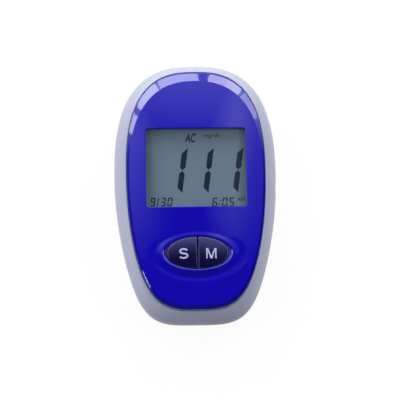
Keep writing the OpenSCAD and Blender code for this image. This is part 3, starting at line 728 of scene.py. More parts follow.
SOUNDER_BLACK = finish_of("sounder_black", (0.016, 0.016, 0.018), (0.35, 0.5), (0.06, 0.06, 0.06),
                          wear=0.5, drift=0.15)
SWITCH_BLACK = finish_of("switch_body", (0.03, 0.03, 0.034), (0.35, 0.5), (0.1, 0.1, 0.1), wear=0.5,
                         drift=0.12)
PLUNGER_TAN = finish_of("plunger_tan", (0.55, 0.44, 0.26), (0.4, 0.6), (0.66, 0.56, 0.4), wear=0.4)
CAN_STEEL = finish_of("crystal_can", (0.62, 0.62, 0.60), (0.18, 0.32), (0.8, 0.8, 0.78), wear=0.5,
                      drift=0.08, grain=1800.0, depth=0.00001, Metallic=1.0)
SPRING_STEEL = finish_of("nickel_spring", (0.60, 0.59, 0.56), (0.16, 0.34), (0.75, 0.74, 0.7),
                         wear=0.4, drift=0.1, grain=1500.0, depth=0.00001, Metallic=1.0)
GOLD_FINGER = finish_of("gold_finger", (0.80, 0.56, 0.20), (0.16, 0.3), (0.7, 0.68, 0.6), wear=0.3,
                        drift=0.08, Metallic=1.0)
SCREW_STEEL = finish_of("screw_steel", (0.42, 0.42, 0.43), (0.2, 0.4), (0.7, 0.7, 0.7), wear=0.8,
                        drift=0.12, grain=1200.0, depth=0.00002, Metallic=1.0)
CELL_SLEEVE = finish_of("cell_sleeve", (0.05, 0.19, 0.22), (0.16, 0.3), (0.3, 0.42, 0.44), wear=0.3,
                        drift=0.06, grain=500.0, wave=0.8, depth=0.00002, Coat_Weight=0.5)
CELL_BAND = finish_of("cell_band", (0.62, 0.63, 0.62), (0.2, 0.34), (0.8, 0.8, 0.8), wear=0.3,
                      drift=0.05, grain=500.0, wave=0.8, depth=0.00002, Coat_Weight=0.4)
CELL_STEEL = finish_of("cell_steel", (0.66, 0.65, 0.62), (0.14, 0.3), (0.8, 0.8, 0.78), wear=0.5,
                       drift=0.08, grain=900.0, depth=0.00001, Metallic=1.0)


# ---------------------------------------------------------------- housings

def both_sides(points):
    """Places on the left, then the same ones on the right."""
    return [(side * x, y) for side in (-1, 1) for x, y in points]


def beam(x, half, along, upright, edge=0.0):
    """Block of a half width round a place in X, between a pair of places in Y and a pair in Z."""
    return block((x - half, along[0], upright[0]), (x + half, along[1], upright[1]), edge)


BAY_LOW = (-11.1, -28.55)
BAY_HIGH = (11.1, 20.55)
BAY_TOP = 12.7
BAY_WALL = 1.2
BAY_BASE = 0.8
FLOOR_T = 1.6
SEAT_WID = 2.2                    # the recess in which the door's plate lies
SEAT_T = 0.85
TAB_X = 6.0                       # middle of the door's tabs
TAG_X = 5.4                       # middle of the contacts' soldering tags
CELL_Z = 7.15
CELL_X = 5.55
CELL_R = 5.25
POSTS = both_sides(((16.5, 28.0), (12.5, -34.5)))
POST_R = 2.6
BOSS_R = 3.3
SCREW_HOLE_R = 1.2
HEAD_WELL = ((2.7, -PAST), (2.7, 0), (2.4, 0.3), (2.4, 3.0))
WEB_LEAN = 20                     # degrees by which a post's web leans towards its end of the case
WEB_HALF = 0.6
BOARD_POINTS = both_sides(((14.6, 34.5), (18.9, -14.3)))
BOARD_POST_R = 2.0
board_low, board_high = node_box("circuit_board")
port_low, port_high = node_box("strip_port")
jack_low, jack_high = node_box("data_jack")
JACK_Y = (jack_low.y + jack_high.y) / 2
JACK_Z = (jack_low.z + jack_high.z) / 2
NOSE_R = 2.6
JACK_SHOULDER = 24.6
REAR_HEIGHTS = (0, 0.06, 0.18, 0.4, 0.75, 1.25, 1.9, 2.7, 3.6, 4.6, 5.6, 6.6, 7.4, SEAM_Z - 0.15)
RIM_START = SEAM_Z + 2.4
RIM_HEIGHTS = (11.2, 12.0, 12.8, 13.5, 14.2, 14.8, 15.3, 15.8, 16.2, 16.55, 16.85, 17.1, 17.3, 17.45,
               17.54, 17.585)


def jack_turned(profile):
    """Solid of revolution round the axis of the data jack."""
    return turned(profile, (0, JACK_Y, JACK_Z), "X")


def jack_hole():
    """The hole in the side wall for the jack's nose."""
    return jack_turned([(NOSE_R + 0.1, JACK_SHOULDER - 1), (NOSE_R + 0.1, JACK_SHOULDER + 7)])


def rear_round(z):
    """How far the rear shell's wall has drawn in at a height."""
    return BACK_ROUND * (1 - (z / SEAM_Z) ** 0.6) ** 1.56


def rear_shell():
    """Lower half of the case: bowl, tongue, battery bay, screw bosses and the door's seat."""
    tongue = WALL - LIP_T
    outer = [(rear_round(z), z) for z in REAR_HEIGHTS] + [(0.04, SEAM_Z - 0.04), (0.15, SEAM_Z)]
    inner = [(tongue, SEAM_Z), (tongue, SEAM_Z + LIP_H - 0.1), (tongue + 0.1, SEAM_Z + LIP_H),
             (WALL, SEAM_Z + LIP_H), (WALL, 5.6), (WALL + 1.5, 3.0), (WALL + 3.6, FLOOR_T)]
    bay = block((BAY_LOW[0] - BAY_WALL, BAY_LOW[1] - BAY_WALL, BAY_BASE),
                (BAY_HIGH[0] + BAY_WALL, BAY_HIGH[1] + BAY_WALL, BAY_TOP + 1), 0.3)
    bosses = [bar(x, y, BOSS_R, BAY_BASE, SEAM_Z, 0.2) for x, y in POSTS]
    seat = rounded_rectangle((BAY_LOW[0] - SEAT_WID, BAY_LOW[1] - SEAT_WID),
                             (BAY_HIGH[0] + SEAT_WID, BAY_HIGH[1] + SEAT_WID), 1.5)
    cuts = [block((*BAY_LOW, -PAST), (*BAY_HIGH, BAY_TOP)), slab(seat, -PAST, SEAT_T), jack_hole()]
    for side in (-1, 1):
        cuts.append(beam(side * TAB_X, 1.7, (BAY_HIGH[1] - 1, BAY_HIGH[1] + 2.2), (-PAST, 3.1)))
        cuts.append(beam(side * TAG_X, 1.0, (BAY_LOW[1], BAY_LOW[1] + 0.6), (BAY_TOP - 1, BAY_TOP + 2)))
    for x, y in POSTS:
        cuts += [bar(x, y, SCREW_HOLE_R, -PAST, SEAM_Z + PAST), turned(HEAD_WELL, (x, y, 0))]
    piece("rear_shell", skin(stacked(case_egg, outer + inner)), CASE_GREY, "case",
          ["rear_housing"], join=[bay] + bosses, cut=cuts)


def rim_round(z):
    """Share of the way from the case outline to the rim's inner edge at a height."""
    u = (z - RIM_START) / (RIM_Z - RIM_START)
    return 1 - (1 - u ** 1.8) ** 0.625


def rim_ring(z, inset=0):
    """Ring of the rounded rim between the case outline and the cover, moved in a little."""
    share = rim_round(z)
    return at(mixed(case_egg(inset), cover_egg(-GROOVE), share), z - inset * share)


def post_web(x, y, top):
    """Web that joins a screw post to the wall beside it."""
    lean = WEB_LEAN * math.copysign(1, y)
    turn = math.radians(lean if x > 0 else 180 - lean)
    wall_middle = case_egg(WALL * 0.75)
    reach = POST_R
    while inside(x + reach * math.cos(turn), y + reach * math.sin(turn), wall_middle):
        reach += 0.1
    web = block((0, -WEB_HALF, SEAM_Z + LIP_H + 0.4), (reach, WEB_HALF, top - 0.3), 0.1)
    return web.spun(x, y, turn)


def front_shell():
    """Upper half of the case: rim, ledge under the cover, screw posts, webs and board posts."""
    rim = cover_egg(-GROOVE)
    ledge = cover_egg(LEDGE_WID)
    recess = WALL - LIP_T - 0.1
    recess_top = SEAM_Z + LIP_H + 0.15
    rings = stacked(case_egg, [(0.15, SEAM_Z), (0.04, SEAM_Z + 0.04), (0, SEAM_Z + 0.15),
                               (0, RIM_START)])
    rings += [rim_ring(z) for z in RIM_HEIGHTS]
    rings += [at(mixed(case_egg(0), rim, 0.985), RIM_Z), at(rim, RIM_Z - 0.06), at(rim, COVER_Z),
              at(ledge, COVER_Z), at(ledge, COVER_Z - LEDGE_T)]
    rings += stacked(case_egg, [(WALL + 1.8, COVER_Z - LEDGE_T), (WALL + 0.25, 12.2),
                                (WALL, recess_top), (recess, recess_top), (recess, SEAM_Z)])
    post_top = board_low.z - 1
    joined = []
    for x, y in POSTS:
        joined += [bar(x, y, POST_R, SEAM_Z, post_top, 0.15), post_web(x, y, post_top)]
    joined += [bar(x, y, BOARD_POST_R, board_high.z, COVER_Z - 0.2) for x, y in BOARD_POINTS]
    cuts = [bar(x, y, 1.05, SEAM_Z - PAST, SEAM_Z + 4) for x, y in POSTS]
    cuts += [bar(x, y, 0.65, board_high.z - 1, board_low.z + 2.8) for x, y in BOARD_POINTS]
    mouth = rounded_rectangle((-6.4, port_low.z + 0.7), (6.4, port_high.z + 0.1), 0.4)
    cuts += [along_y([(port_low.y - PAST, mouth), (CASE_LEN / 2 + PAST, mouth)]), jack_hole()]
    piece("front_shell", skin(rings, loop=True), CASE_GREY, "case", ["front_housing"],
          join=joined, cut=cuts)


# ---------------------------------------------------------------- cover

DOME_MID = (0, COVER_MID + 2 + COVER_MORE / 2)
CREST_SIDE = 1.45                 # how far the ring's crest lies outside the keys: sides, below, above
CREST_LOW = 0.65
CREST_UP = 0.42
LIP_RISE = (0.10, 0.42)           # the ring's height, outer foot and inner slope, above and below
LIP_FOOT = (1.6, 2.2)
LIP_SLOPE = (0.6, 0.26)
LIP_FOOT_SIDE = 1.2
LIP_SINK = 0.16                   # the shallow dish round the ring's foot, and its width
LIP_DISH = 2.2
LIP_SHARP = 30                    # how closely the two slopes of the ring meet in its crest
LIP_REACH = (6.5, 6)              # how far from the keys the ring shapes the face, along X and Y
LIP_CLEAR = (5.9, 5.1)            # where the even grid of points over the face starts
RING_STEPS = (-1.05, -0.85, -0.65, -0.5, -0.36, -0.24, -0.15, -0.08, -0.03, 0.02, 0.08, 0.16, 0.26, 0.4,
              0.55, 0.7, 0.85, 1.0, 1.2, 1.4, 1.6, 1.8, 2.0, 2.2, 2.5, 2.8, 3.1, 3.5, 3.9, 4.4)
WINDOW_STEPS = (0.02, 0.05, 0.08, WINDOW_EDGE, 0.4, 0.8)
EDGE_STEPS = (0.4, 1.0, 1.8)
BEVEL_STEPS = (0, 0.015, 0.04, 0.25, 0.5, 0.75, 0.96, 1.0)
BEVEL_FOOT = 0.04                 # share of the bevel over which its foot is rounded, and by how much
BEVEL_FOOT_DROP = 0.06
FACE_BOX = ((-24, -40), (24, 42))
FACE_GRID = 1.0
UNDER_IN = 0.3
UNDER_DROP = 2.0
bevel_rim = bevel_egg()
window_edge = window_outline()
key_opening = oval(BUTTON_A + KEY_GAP, BUTTON_B + KEY_GAP)
crest_line = (oval(BUTTON_A + CREST_SIDE, BUTTON_B + CREST_UP)[:OVAL_STEPS // 2]
              + oval(BUTTON_A + CREST_SIDE, BUTTON_B + CREST_LOW)[OVAL_STEPS // 2:])


def from_dome(x, y):
    """Direction and distance of a point from the dome's middle."""
    dx, dy = x - DOME_MID[0], y - DOME_MID[1]
    return math.atan2(dy, dx), math.hypot(dx, dy)


rim_by_angle = sorted(from_dome(x, y) for x, y in bevel_rim)
rim_by_angle = ([(rim_by_angle[-1][0] - math.tau, rim_by_angle[-1][1])] + rim_by_angle
                + [(rim_by_angle[0][0] + math.tau, rim_by_angle[0][1])])


def rim_distance(angle):
    """Distance from the dome's middle to the bevel's inner edge, in a direction."""
    table = rim_by_angle
    low, high = 0, len(table) - 1
    while high - low > 1:
        middle = (low + high) // 2
        if table[middle][0] <= angle:
            low = middle
        else:
            high = middle
    (a0, r0), (a1, r1) = table[low], table[high]
    return r0 + (r1 - r0) * (angle - a0) / (a1 - a0)


def dome_z(x, y):
    """Height of the cover's gently domed face."""
    angle, away = from_dome(x, y)
    return BEVEL_Z + CROWN * (1 - min(away / rim_distance(angle), 1) ** 2)


def distance_to(outline, x, y):
    """Shortest distance from a point to an outline."""
    best = math.inf
    for (x0, y0), (x1, y1) in zip(outline, outline[1:] + outline[:1]):
        dx, dy = x1 - x0, y1 - y0
        t = max(0, min(1, ((x - x0) * dx + (y - y0) * dy) / (dx * dx + dy * dy)))
        best = min(best, math.hypot(x0 + t * dx - x, y0 + t * dy - y))
    return best


def lip_height(x, y):
    """Height of the ring round the keys over the cover's face. It is low above them, high below."""
    low = (1 - max(-1, min(1, (y - BUTTON_Y) / BUTTON_B))) / 2
    rise, foot, slope = (k[0] + (k[1] - k[0]) * low ** 3 for k in (LIP_RISE, LIP_FOOT, LIP_SLOPE))
    foot += LIP_FOOT_SIDE * 4 * low * (1 - low)
    out = distance_to(crest_line, x, y)
    if inside(x, y, crest_line):
        out = -out
    if out >= foot + LIP_DISH:
        return 0
    if out >= foot:
        return -LIP_SINK * low * (1 + math.cos(math.pi * (out - foot) / LIP_DISH)) / 2
    sink = LIP_SINK * low
    fall = -sink + (rise + sink) * (1 + math.cos(math.pi * max(out, 0) / foot)) / 2
    climb = rise + out * slope
    return -math.log(math.exp(-LIP_SHARP * climb) + math.exp(-LIP_SHARP * fall)) / LIP_SHARP


def near_window(x, y, out):
    """Whether a point lies over the window or within a distance of it."""
    return abs(x) < WINDOW_HALF[0] + out and abs(y - WINDOW_Y) < WINDOW_HALF[1] + out


def cover_top(x, y):
    """Height of the cover's face at a point, with the ring and the rounded edge of the window."""
    z = dome_z(x, y)
    if abs(x) < BUTTON_A + LIP_REACH[0] and abs(y - BUTTON_Y) < BUTTON_B + LIP_REACH[1]:
        z += lip_height(x, y)
    if near_window(x, y, 1):
        z -= fillet_drop(distance_to(window_edge, x, y), WINDOW_EDGE)
    return z


def grid(low, high, step):
    """Points of a staggered grid between two corners."""
    points = []
    rise = step * 0.87
    for j in range(int((high[1] - low[1]) / rise) + 1):
        x = low[0] + (step / 2 if j % 2 else 0)
        while x <= high[0]:
            points.append((x, low[1] + j * step * 0.87))
            x += step
    return points


def open_face(x, y, clear):
    """Whether a point of the cover's face is well away from its edges, its window and its ring."""
    ring = math.hypot(x / (BUTTON_A + LIP_CLEAR[0]), (y - BUTTON_Y) / (BUTTON_B + LIP_CLEAR[1]))
    if near_window(x, y, clear) or ring < 1.04:
        return False
    angle, away = from_dome(x, y)
    return away < rim_distance(angle) - clear


def open_to_keys(x, y):
    """Whether a point lies outside the keys' opening, clear of its edge."""
    return not inside(x, y, key_opening) and distance_to(key_opening, x, y) > 0.05


def cover_face():
    """Domed face of the cover with the ring round the keys, open at the window and the keys."""
    edges = sum((moved_in(bevel_rim, d) for d in EDGE_STEPS), [])
    rings = [window_outline(d) for d in WINDOW_STEPS]
    rings += [[p for p in moved_in(crest_line, -d) if d > 0 or open_to_keys(*p)] for d in RING_STEPS]
    loose = [p for p in edges if open_face(*p, 0.2)] + sum(rings, [])
    loose += [p for p in grid(*FACE_BOX, FACE_GRID) if open_face(*p, 1.1)]
    return filled([bevel_rim, window_edge, key_opening], loose, cover_top)


def cover_bevel(foot):
    """Rings of the bevel, from the cover's outline up to the rim of its face."""
    widths = [distance_to(bevel_rim, x, y) for x, y in foot]
    rings = []
    for share in BEVEL_STEPS:
        drop = BEVEL_FOOT_DROP * max(0, 1 - share / BEVEL_FOOT) ** 2
        ring = []
        for start, end, wide in zip(foot, bevel_rim, widths):
            bulge = BEVEL_BULGE * wide * math.sin(math.pi * share)
            x, y = blend(start, end, share)
            ring.append((x, y, BEVEL_Z - BEVEL_SLOPE * wide * (1 - share) + bulge - drop))
        rings.append(ring)
    return rings


def cover_shell():
    """The cover: face, bevel and skirt, with lined openings and a ceiling under the face."""
    foot = cover_egg(0)
    skirt = cover_egg(SKIRT_T)
    under = [min(pair, key=lambda p: from_dome(*p)[1])
             for pair in zip(skirt, moved_in(bevel_rim, UNDER_IN))]
    rings = [at(under, FACE_Z), at(skirt, FACE_Z - UNDER_DROP), at(skirt, COVER_Z),
             at(moved_in(foot, 0.1), COVER_Z), at(foot, COVER_Z + 0.1)] + cover_bevel(foot)
    shape = cover_face() + skin(rings, low=False, high=False)
    for hole in (window_edge, key_opening):
        upper = [(x, y, cover_top(x, y)) for x, y in hole]
        shape += skin([at(hole, FACE_Z), upper], low=False, high=False).turned_over()
    shape += filled([under, window_edge, key_opening], height=lambda x, y: FACE_Z).turned_over()
    piece("blue_cover", shape, COVER_BLUE, "case", ["face_cover"], sharp=20)


# ---------------------------------------------------------------- keys

KEY_CORNER = 0.35
KEY_FALL = 0.45                   # how far the keys' domed top falls from its middle to its edge
KEY_EDGE = 0.28
KEY_RINGS = (0.02, 0.05, 0.09, 0.14, 0.2, KEY_EDGE, 0.6)
KEY_GRID = 0.5
KEY_ARC = 60
KEY_SIDE = 24
FLANGE_LOW = 18.2
FLANGE_TOP = 19.0
STEM_LOW = 17.5
STEM_R = 1.5
LEGEND_GRID = 0.3
LEGEND_SINK = 0.01
LEGEND_T = 0.035


def key_outline(side):
    """Half of the oval with its two sharp corners rounded, counter-clockwise."""
    a = BUTTON_A - SPLIT / 2
    arc_from = math.acos((KEY_CORNER + 0.02) / a)
    turns = [-arc_from + 2 * arc_from * i / KEY_ARC for i in range(KEY_ARC + 1)]
    points = [(SPLIT / 2 + a * math.cos(t), BUTTON_B * math.sin(t)) for t in turns]
    top = points[-1][1]
    turns = [math.pi / 2 * i / CORNER_STEPS for i in range(1, CORNER_STEPS + 1)]
    corner = [(SPLIT / 2 + KEY_CORNER - KEY_CORNER * math.sin(t), top - KEY_CORNER * (1 - math.cos(t)))
              for t in turns]
    reach = top - KEY_CORNER
    straight = [(SPLIT / 2, reach - 2 * reach * i / KEY_SIDE) for i in range(1, KEY_SIDE)]
    points += corner + straight + [(x, -y) for x, y in reversed(corner)]
    made = [(side * x, BUTTON_Y + y) for x, y in points]
    return made if side > 0 else made[::-1]


def key_top(x, y):
    """Height of the keys' domed top."""
    rho = math.hypot(x / BUTTON_A, (y - BUTTON_Y) / BUTTON_B)
    return BUTTON_Z - KEY_FALL * min(rho, 1.05) ** 2


def key(name, side, body, node):
    """One key: half of the oval with a domed top, a flange under the cover and a stem."""
    outline = key_outline(side)
    rings = [moved_in(outline, d) for d in KEY_RINGS]
    box_low = (min(x for x, _ in outline), BUTTON_Y - BUTTON_B)
    box_high = (max(x for x, _ in outline), BUTTON_Y + BUTTON_B)
    loose = [p for p in grid(box_low, box_high, KEY_GRID) if inside(*p, rings[-1])]
    top = filled([outline], sum(rings, []) + loose,
                 lambda x, y: key_top(x, y) - fillet_drop(distance_to(outline, x, y), KEY_EDGE))
    upper = [(x, y, key_top(x, y) - KEY_EDGE) for x, y in outline]
    flange = [(side * max(side * x, SPLIT / 2), y) for x, y in moved_in(outline, -KEY_FLANGE)]
    walls = skin([at(flange, FLANGE_LOW), at(flange, FLANGE_TOP - 0.1),
                  at(mixed(flange, outline, 0.12), FLANGE_TOP), at(outline, FLANGE_TOP), upper],
                 high=False)
    stem = bar(side * BUTTON_A / 2, BUTTON_Y, STEM_R, STEM_LOW, FLANGE_LOW + 0.4, 0.1)
    piece(name, top + walls, KEY_DARK, body, [node], join=[stem], sharp=28)


def stroke(path, width):
    """Outline of a flat stroke of even width along a path."""
    left, right = [], []
    for i, (x, y) in enumerate(path):
        ahead = path[min(i + 1, len(path) - 1)]
        behind = path[max(i - 1, 0)]
        dx, dy = ahead[0] - behind[0], ahead[1] - behind[1]
        size = math.hypot(dx, dy)
        nx, ny = -dy / size * width / 2, dx / size * width / 2
        left.append((x + nx, y + ny))
        right.append((x - nx, y - ny))
    return right + left[::-1]


def arc(centre, radii, start, turn, steps=24):
    """Points along an oval, from a start angle through a turn, both in degrees."""
    angles = [math.radians(start + turn * i / steps) for i in range(steps + 1)]
    return [(centre[0] + radii[0] * math.cos(t), centre[1] + radii[1] * math.sin(t)) for t in angles]


def letter_s(low, high, width):
    """The letter S from two joined arcs, in a box."""
    mid = (low[0] + high[0]) / 2
    rx = (high[0] - low[0] - width) / 2
    ry = (high[1] - low[1] - width) / 4
    upper = arc((mid, high[1] - width / 2 - ry), (rx * 0.94, ry), 20, 225)
    lower = arc((mid, low[1] + width / 2 + ry), (rx, ry), 65, -225)
    return stroke(upper + lower, width)


def letter_m(low, high, width):
    """The letter M, in a box."""
    (x0, y0), (x1, y1) = low, high
    mid = (x0 + x1) / 2
    tip = width * 0.62
    notch = width * 1.45
    inner_top = y1 - width * 1.5
    return [(x0, y0), (x0 + width, y0), (x0 + width, inner_top), (mid - tip, y0), (mid + tip, y0),
            (x1 - width, inner_top), (x1 - width, y0), (x1, y0), (x1, y1), (x1 - notch, y1),
            (mid, y0 + width * 1.7), (x0 + notch, y1), (x0, y1)]


def legend(name, outline, body):
    """A printed letter that lies on a key's domed top."""
    low = [min(p[k] for p in outline) for k in (0, 1)]
    high = [max(p[k] for p in outline) for k in (0, 1)]
    loose = [p for p in grid(low, high, LEGEND_GRID) if inside(*p, outline)]
    shape = raised(filled([outline], loose), lambda x, y: key_top(x, y) - LEGEND_SINK, LEGEND_T)
    piece(name, shape, LEGEND_PRINT, body, sharp=40)


# ---------------------------------------------------------------- display

INK_T = 0.02
LEAN = math.tan(math.radians(8))
BIG_LOW = -0.55
BIG_TALL = 15.75
BIG_WIDE = 8
BIG_STROKE = 1.9
BIG_GAP = 0.12
BIG_MIDDLES = (-4.66, 4.24, 14.35)
SMALL_WIDE = 0.56                 # width of a small digit as a share of its height
SMALL_STROKE = 0.46
SMALL_GAP = 0.04
SLASH = 0.36
DOT = 0.42
DOT_PLACES = (0.22, 0.62)
LIT = {"0": "abcdef", "1": "bc", "3": "abgcd", "5": "afgcd", "6": "afgedc", "9": "abcdfg"}


def rectangle(x0, y0, x1, y1):
    """Outline of a rectangle between two corners, counter-clockwise."""
    return [(x0, y0), (x1, y0), (x1, y1), (x0, y1)]


def ink(name, shape):
    """A printed piece of the display."""
    piece(name, shape, SEGMENT_INK, "case", sharp=40)


def printed(polygons, middle):
    """Thin closed ink shapes on the panel, leaning to the right about a height."""
    made = Shape()
    for polygon in polygons:
        outline = [(x + (y - middle) * LEAN, y) for x, y in polygon]
        made += skin([at(outline, PANEL_Z), at(outline, PANEL_Z + INK_T)])
    return made


def segment_polygons(lit, x, y, wide, tall, thick, gap):
    """Outlines of the lit segments of a digit, counter-clockwise, from its lowest left corner."""
    half = thick / 2
    mid = y + tall / 2
    right, top = x + wide, y + tall
    near, far = x + thick, right - thick
    under, over = y + thick, top - thick
    below, above = mid - half - gap, mid + half + gap
    shapes = {
        "a": [(x + gap, top), (near + gap, over), (far - gap, over), (right - gap, top)],
        "b": [(right, top - gap), (far, over - gap), (far, above), (right - half, mid + gap),
              (right, above)],
        "c": [(right, y + gap), (right, below), (right - half, mid - gap), (far, below),
              (far, under + gap)],
        "d": [(x + gap, y), (right - gap, y), (far - gap, under), (near + gap, under)],
        "e": [(x, y + gap), (near, under + gap), (near, below), (x + half, mid - gap), (x, below)],
        "f": [(x, top - gap), (x, above), (x + half, mid + gap), (near, above), (near, over - gap)],
        "g": [(x + half + gap, mid), (near + gap, mid - half), (far - gap, mid - half),
              (right - half - gap, mid), (far - gap, mid + half), (near + gap, mid + half)]}
    return [shapes[s] for s in lit]


def big_reading():
    """Three tall digits, each a one."""
    shapes = []
    for middle in BIG_MIDDLES:
        shapes += segment_polygons(LIT["1"], middle + BIG_STROKE / 2 - BIG_WIDE, BIG_LOW, BIG_WIDE,
                                   BIG_TALL, BIG_STROKE, BIG_GAP)
    ink("big_reading", printed(shapes, BIG_LOW + BIG_TALL / 2))


def small_digits(name, text, low, high, places):
    """A row of small digits, with the strokes and dots between them."""
    tall = high - low
    shapes = []
    for mark, x in zip(text, places):
        if mark == "/":
            shapes.append([(x, low), (x + SLASH, low), (x + 2 * SLASH, high), (x + SLASH, high)])
        elif mark == ":":
            shapes += [rectangle(x, y, x + DOT, y + DOT) for y in (low + tall * k for k in DOT_PLACES)]
        else:
            shapes += segment_polygons(LIT[mark], x, low, tall * SMALL_WIDE, tall, SMALL_STROKE,
                                       SMALL_GAP)
    ink(name, printed(shapes, (low + high) / 2))


def small_word(name, text, low, high, bold):
    """A printed word that fills a box."""
    flat = lettering(text, high[1] - low[1], low, bold)
    wide = max(p[0] for p in flat.points) - low[0]
    scale = (high[0] - low[0] - (high[1] - low[1]) * LEAN) / wide
    flat = flat.mapped(lambda x, y, z: (low[0] + (x - low[0]) * scale + (y - low[1]) * LEAN, y, z))
    ink(name, raised(flat, lambda x, y: PANEL_Z, INK_T))


def display():
    """What the display shows: a reading, the date, the time and three small marks."""
    big_reading()
    small_digits("date_digits", "9/30", -4.9, -1.9, (-15.7, -13.5, -12.15, -9.85))
    small_digits("time_digits", "6:05", -5.2, -2.1, (5.4, 7.75, 8.75, 11.1))
    small_word("morning_mark", "AM", (13.7, -3.4), (16.5, -2.15), 0.0)
    small_word("meal_mark", "AC", (-3.6, 17.0), (0.2, 20.1), 0.02)
    small_word("unit_mark", "mg/dL", (2.6, 18.3), (8.8, 20.0), 0.0)


# ---------------------------------------------------------------- ports

PORT_STEPS = 12
GUIDE_LOW = 0.8                   # how far the guide's body stands over its flange, and in from its sides
GUIDE_IN = 1.4
GUIDE_FLANGE = 1.6
FLARE = ((38.0, 4.1, 0.4), (41.9, 4.1, 0.4), (42.4, 4.13, 0.43), (42.9, 4.22, 0.52), (43.4, 4.38, 0.68),
         (43.9, 4.62, 0.92), (44.3, 4.9, 1.2), (45.5, 5.3, 1.35))   # place, half width, half height
JACK_BORE = ((1.8, jack_low.x + 1), (1.8, 26.9), (1.86, 27.2), (2.05, 27.5), (2.4, 27.9), (2.6, 28.2))
JACK_GROOVES = 4
GROOVE_PITCH = 2.6


def shell_bulk(inset):
    """Everything inside the two shells' outer surface, moved in a little."""
    rings = stacked(case_egg, [(inset + rear_round(z), z) for z in (4.0, 5.0, 6.0, 7.0, 7.6)]
                    + [(inset, SEAM_Z), (inset, RIM_START)])
    return skin(rings + [rim_ring(z, inset) for z in RIM_HEIGHTS[:7]])


def strip_guide():
    """Moulded guide for a test strip: a flared mouth in front of a narrow slot."""
    low, high = port_low, port_high
    base = low.z + GUIDE_LOW
    middle = (base + high.z) / 2
    outline = rounded_rectangle((low.x + GUIDE_IN, base), (high.x - GUIDE_IN, high.z), 0.35, PORT_STEPS)
    flange = block(low, (high.x, low.y + GUIDE_FLANGE, high.z), 0.15)
    flare = along_y([(y, rounded_rectangle((-half, middle - tall), (half, middle + tall),
                                           0.12 + tall * 0.3, PORT_STEPS)) for y, half, tall in FLARE])
    slots = [beam(side * 5.3, 0.35, (low.y + 1.5, high.y - 1.4), (high.z - 0.3, high.z + 0.001))
             for side in (-1, 1)]
    piece("strip_guide", along_y([(low.y, outline), (high.y, outline)]), PORT_GREY, "case",
          ["strip_port"], join=[flange], cut=[flare] + slots, within=[shell_bulk(0.1)])


def jack_socket():
    """Data jack: a block under the board with a round nose that ends in the case wall."""
    low, high = jack_low, jack_high
    body = block(low, (JACK_SHOULDER, high.y, high.z), 0.25)
    nose = jack_turned([(NOSE_R, JACK_SHOULDER - 1), (NOSE_R, CASE_WID / 2 + 0.5)])
    collar = jack_turned(bar_profile(NOSE_R + 0.35, JACK_SHOULDER - 0.4, JACK_SHOULDER + 0.25, 0.12))
    grooves = [block((low.x + 2 + GROOVE_PITCH * k, low.y - PAST, low.z - PAST),
                     (low.x + 2.5 + GROOVE_PITCH * k, high.y + PAST, low.z + 0.35))
               for k in range(JACK_GROOVES)]
    piece("jack_socket", body, JACK_GREY, "case", ["data_jack"], join=[nose, collar],
          cut=[jack_turned(JACK_BORE)] + grooves, within=[shell_bulk(0.06)])


# ---------------------------------------------------------------- battery door

door_low, door_high = node_box("battery_door")
LATCH_Y = door_low.y
DOOR_PLATE_T = 0.8
DOOR_GAP = 0.2
TONGUE_WID = 8.0
TONGUE_LEN = 7.0
TAB_HALF = 1.5
DENTS = 5
DENT_PITCH = 1.4
DENT_SIZE = (0.42, 0.34)
SIGN_MID = -4
SIGN_AWAY = 15
ARROW_BASE = 11.2
ARROW_TIP = 14.2
ARROW_HALF = 2.2


def plus_outline(x, y, size, thick):
    """Outline of a plus sign, counter-clockwise."""
    a, b = size / 2, thick / 2
    return [(x + u, y + v) for u, v in ((a, -b), (a, b), (b, b), (b, a), (-b, a), (-b, b), (-a, b),
                                        (-a, -b), (-b, -b), (-b, -a), (b, -a), (b, -b))]


def minus_outline(x, y, size, thick):
    """Outline of a minus sign, counter-clockwise."""
    return rectangle(x - size / 2, y - thick / 2, x + size / 2, y + thick / 2)


def door_panel():
    """Battery door: a plate that lies in the back, a plug, two tabs and a latch tongue with ridges."""
    half = door_high.x
    hinge = BAY_HIGH[1]
    plate = slab(rounded_rectangle((-half, LATCH_Y), (half, hinge + 2), 1.3), 0, DOOR_PLATE_T, 0.08, 0.22)
    joined = [block((-BAY_HIGH[0] + DOOR_GAP, BAY_LOW[1] + DOOR_GAP, 0.4),
                    (BAY_HIGH[0] - DOOR_GAP, hinge - DOOR_GAP, FLOOR_T), 0.15)]
    for side in (-1, 1):
        joined.append(beam(side * TAB_X, TAB_HALF, (hinge - 0.9, hinge - DOOR_GAP), (1.0, 2.5), 0.1))
        joined.append(beam(side * TAB_X, TAB_HALF, (hinge - 0.9, door_high.y), (1.7, 2.5), 0.12))
    for side in (-1, 1):
        for sign, y in ((plus_outline, SIGN_MID - side * SIGN_AWAY),
                        (minus_outline, SIGN_MID + side * SIGN_AWAY)):
            joined.append(slab(sign(side * CELL_X, y, 4.0, 1.0), FLOOR_T - 0.1, FLOOR_T + 0.15))
    cuts = [beam(side * TONGUE_WID / 2, 0.25, (LATCH_Y - PAST, LATCH_Y + TONGUE_LEN),
                 (-PAST, FLOOR_T + PAST)) for side in (-1, 1)]
    for k in range(DENTS):
        y = LATCH_Y + 2.35 + DENT_PITCH * k
        dent = [(y + DENT_SIZE[0] * c, DENT_SIZE[1] * s) for c, s in circle(20, 0.5)]
        cuts.append(skin([[(x, u, v) for u, v in dent] for x in (-TONGUE_WID / 2 + 1, TONGUE_WID / 2 - 1)]))
    arrow = [(0, LATCH_Y + ARROW_TIP), (-ARROW_HALF, LATCH_Y + ARROW_BASE),
             (ARROW_HALF, LATCH_Y + ARROW_BASE)]
    cuts.append(slab(arrow, -PAST, 0.2))
    piece("door_panel", plate, CASE_GREY, "door", ["battery_door"], join=joined, cut=cuts)


# ---------------------------------------------------------------- screws

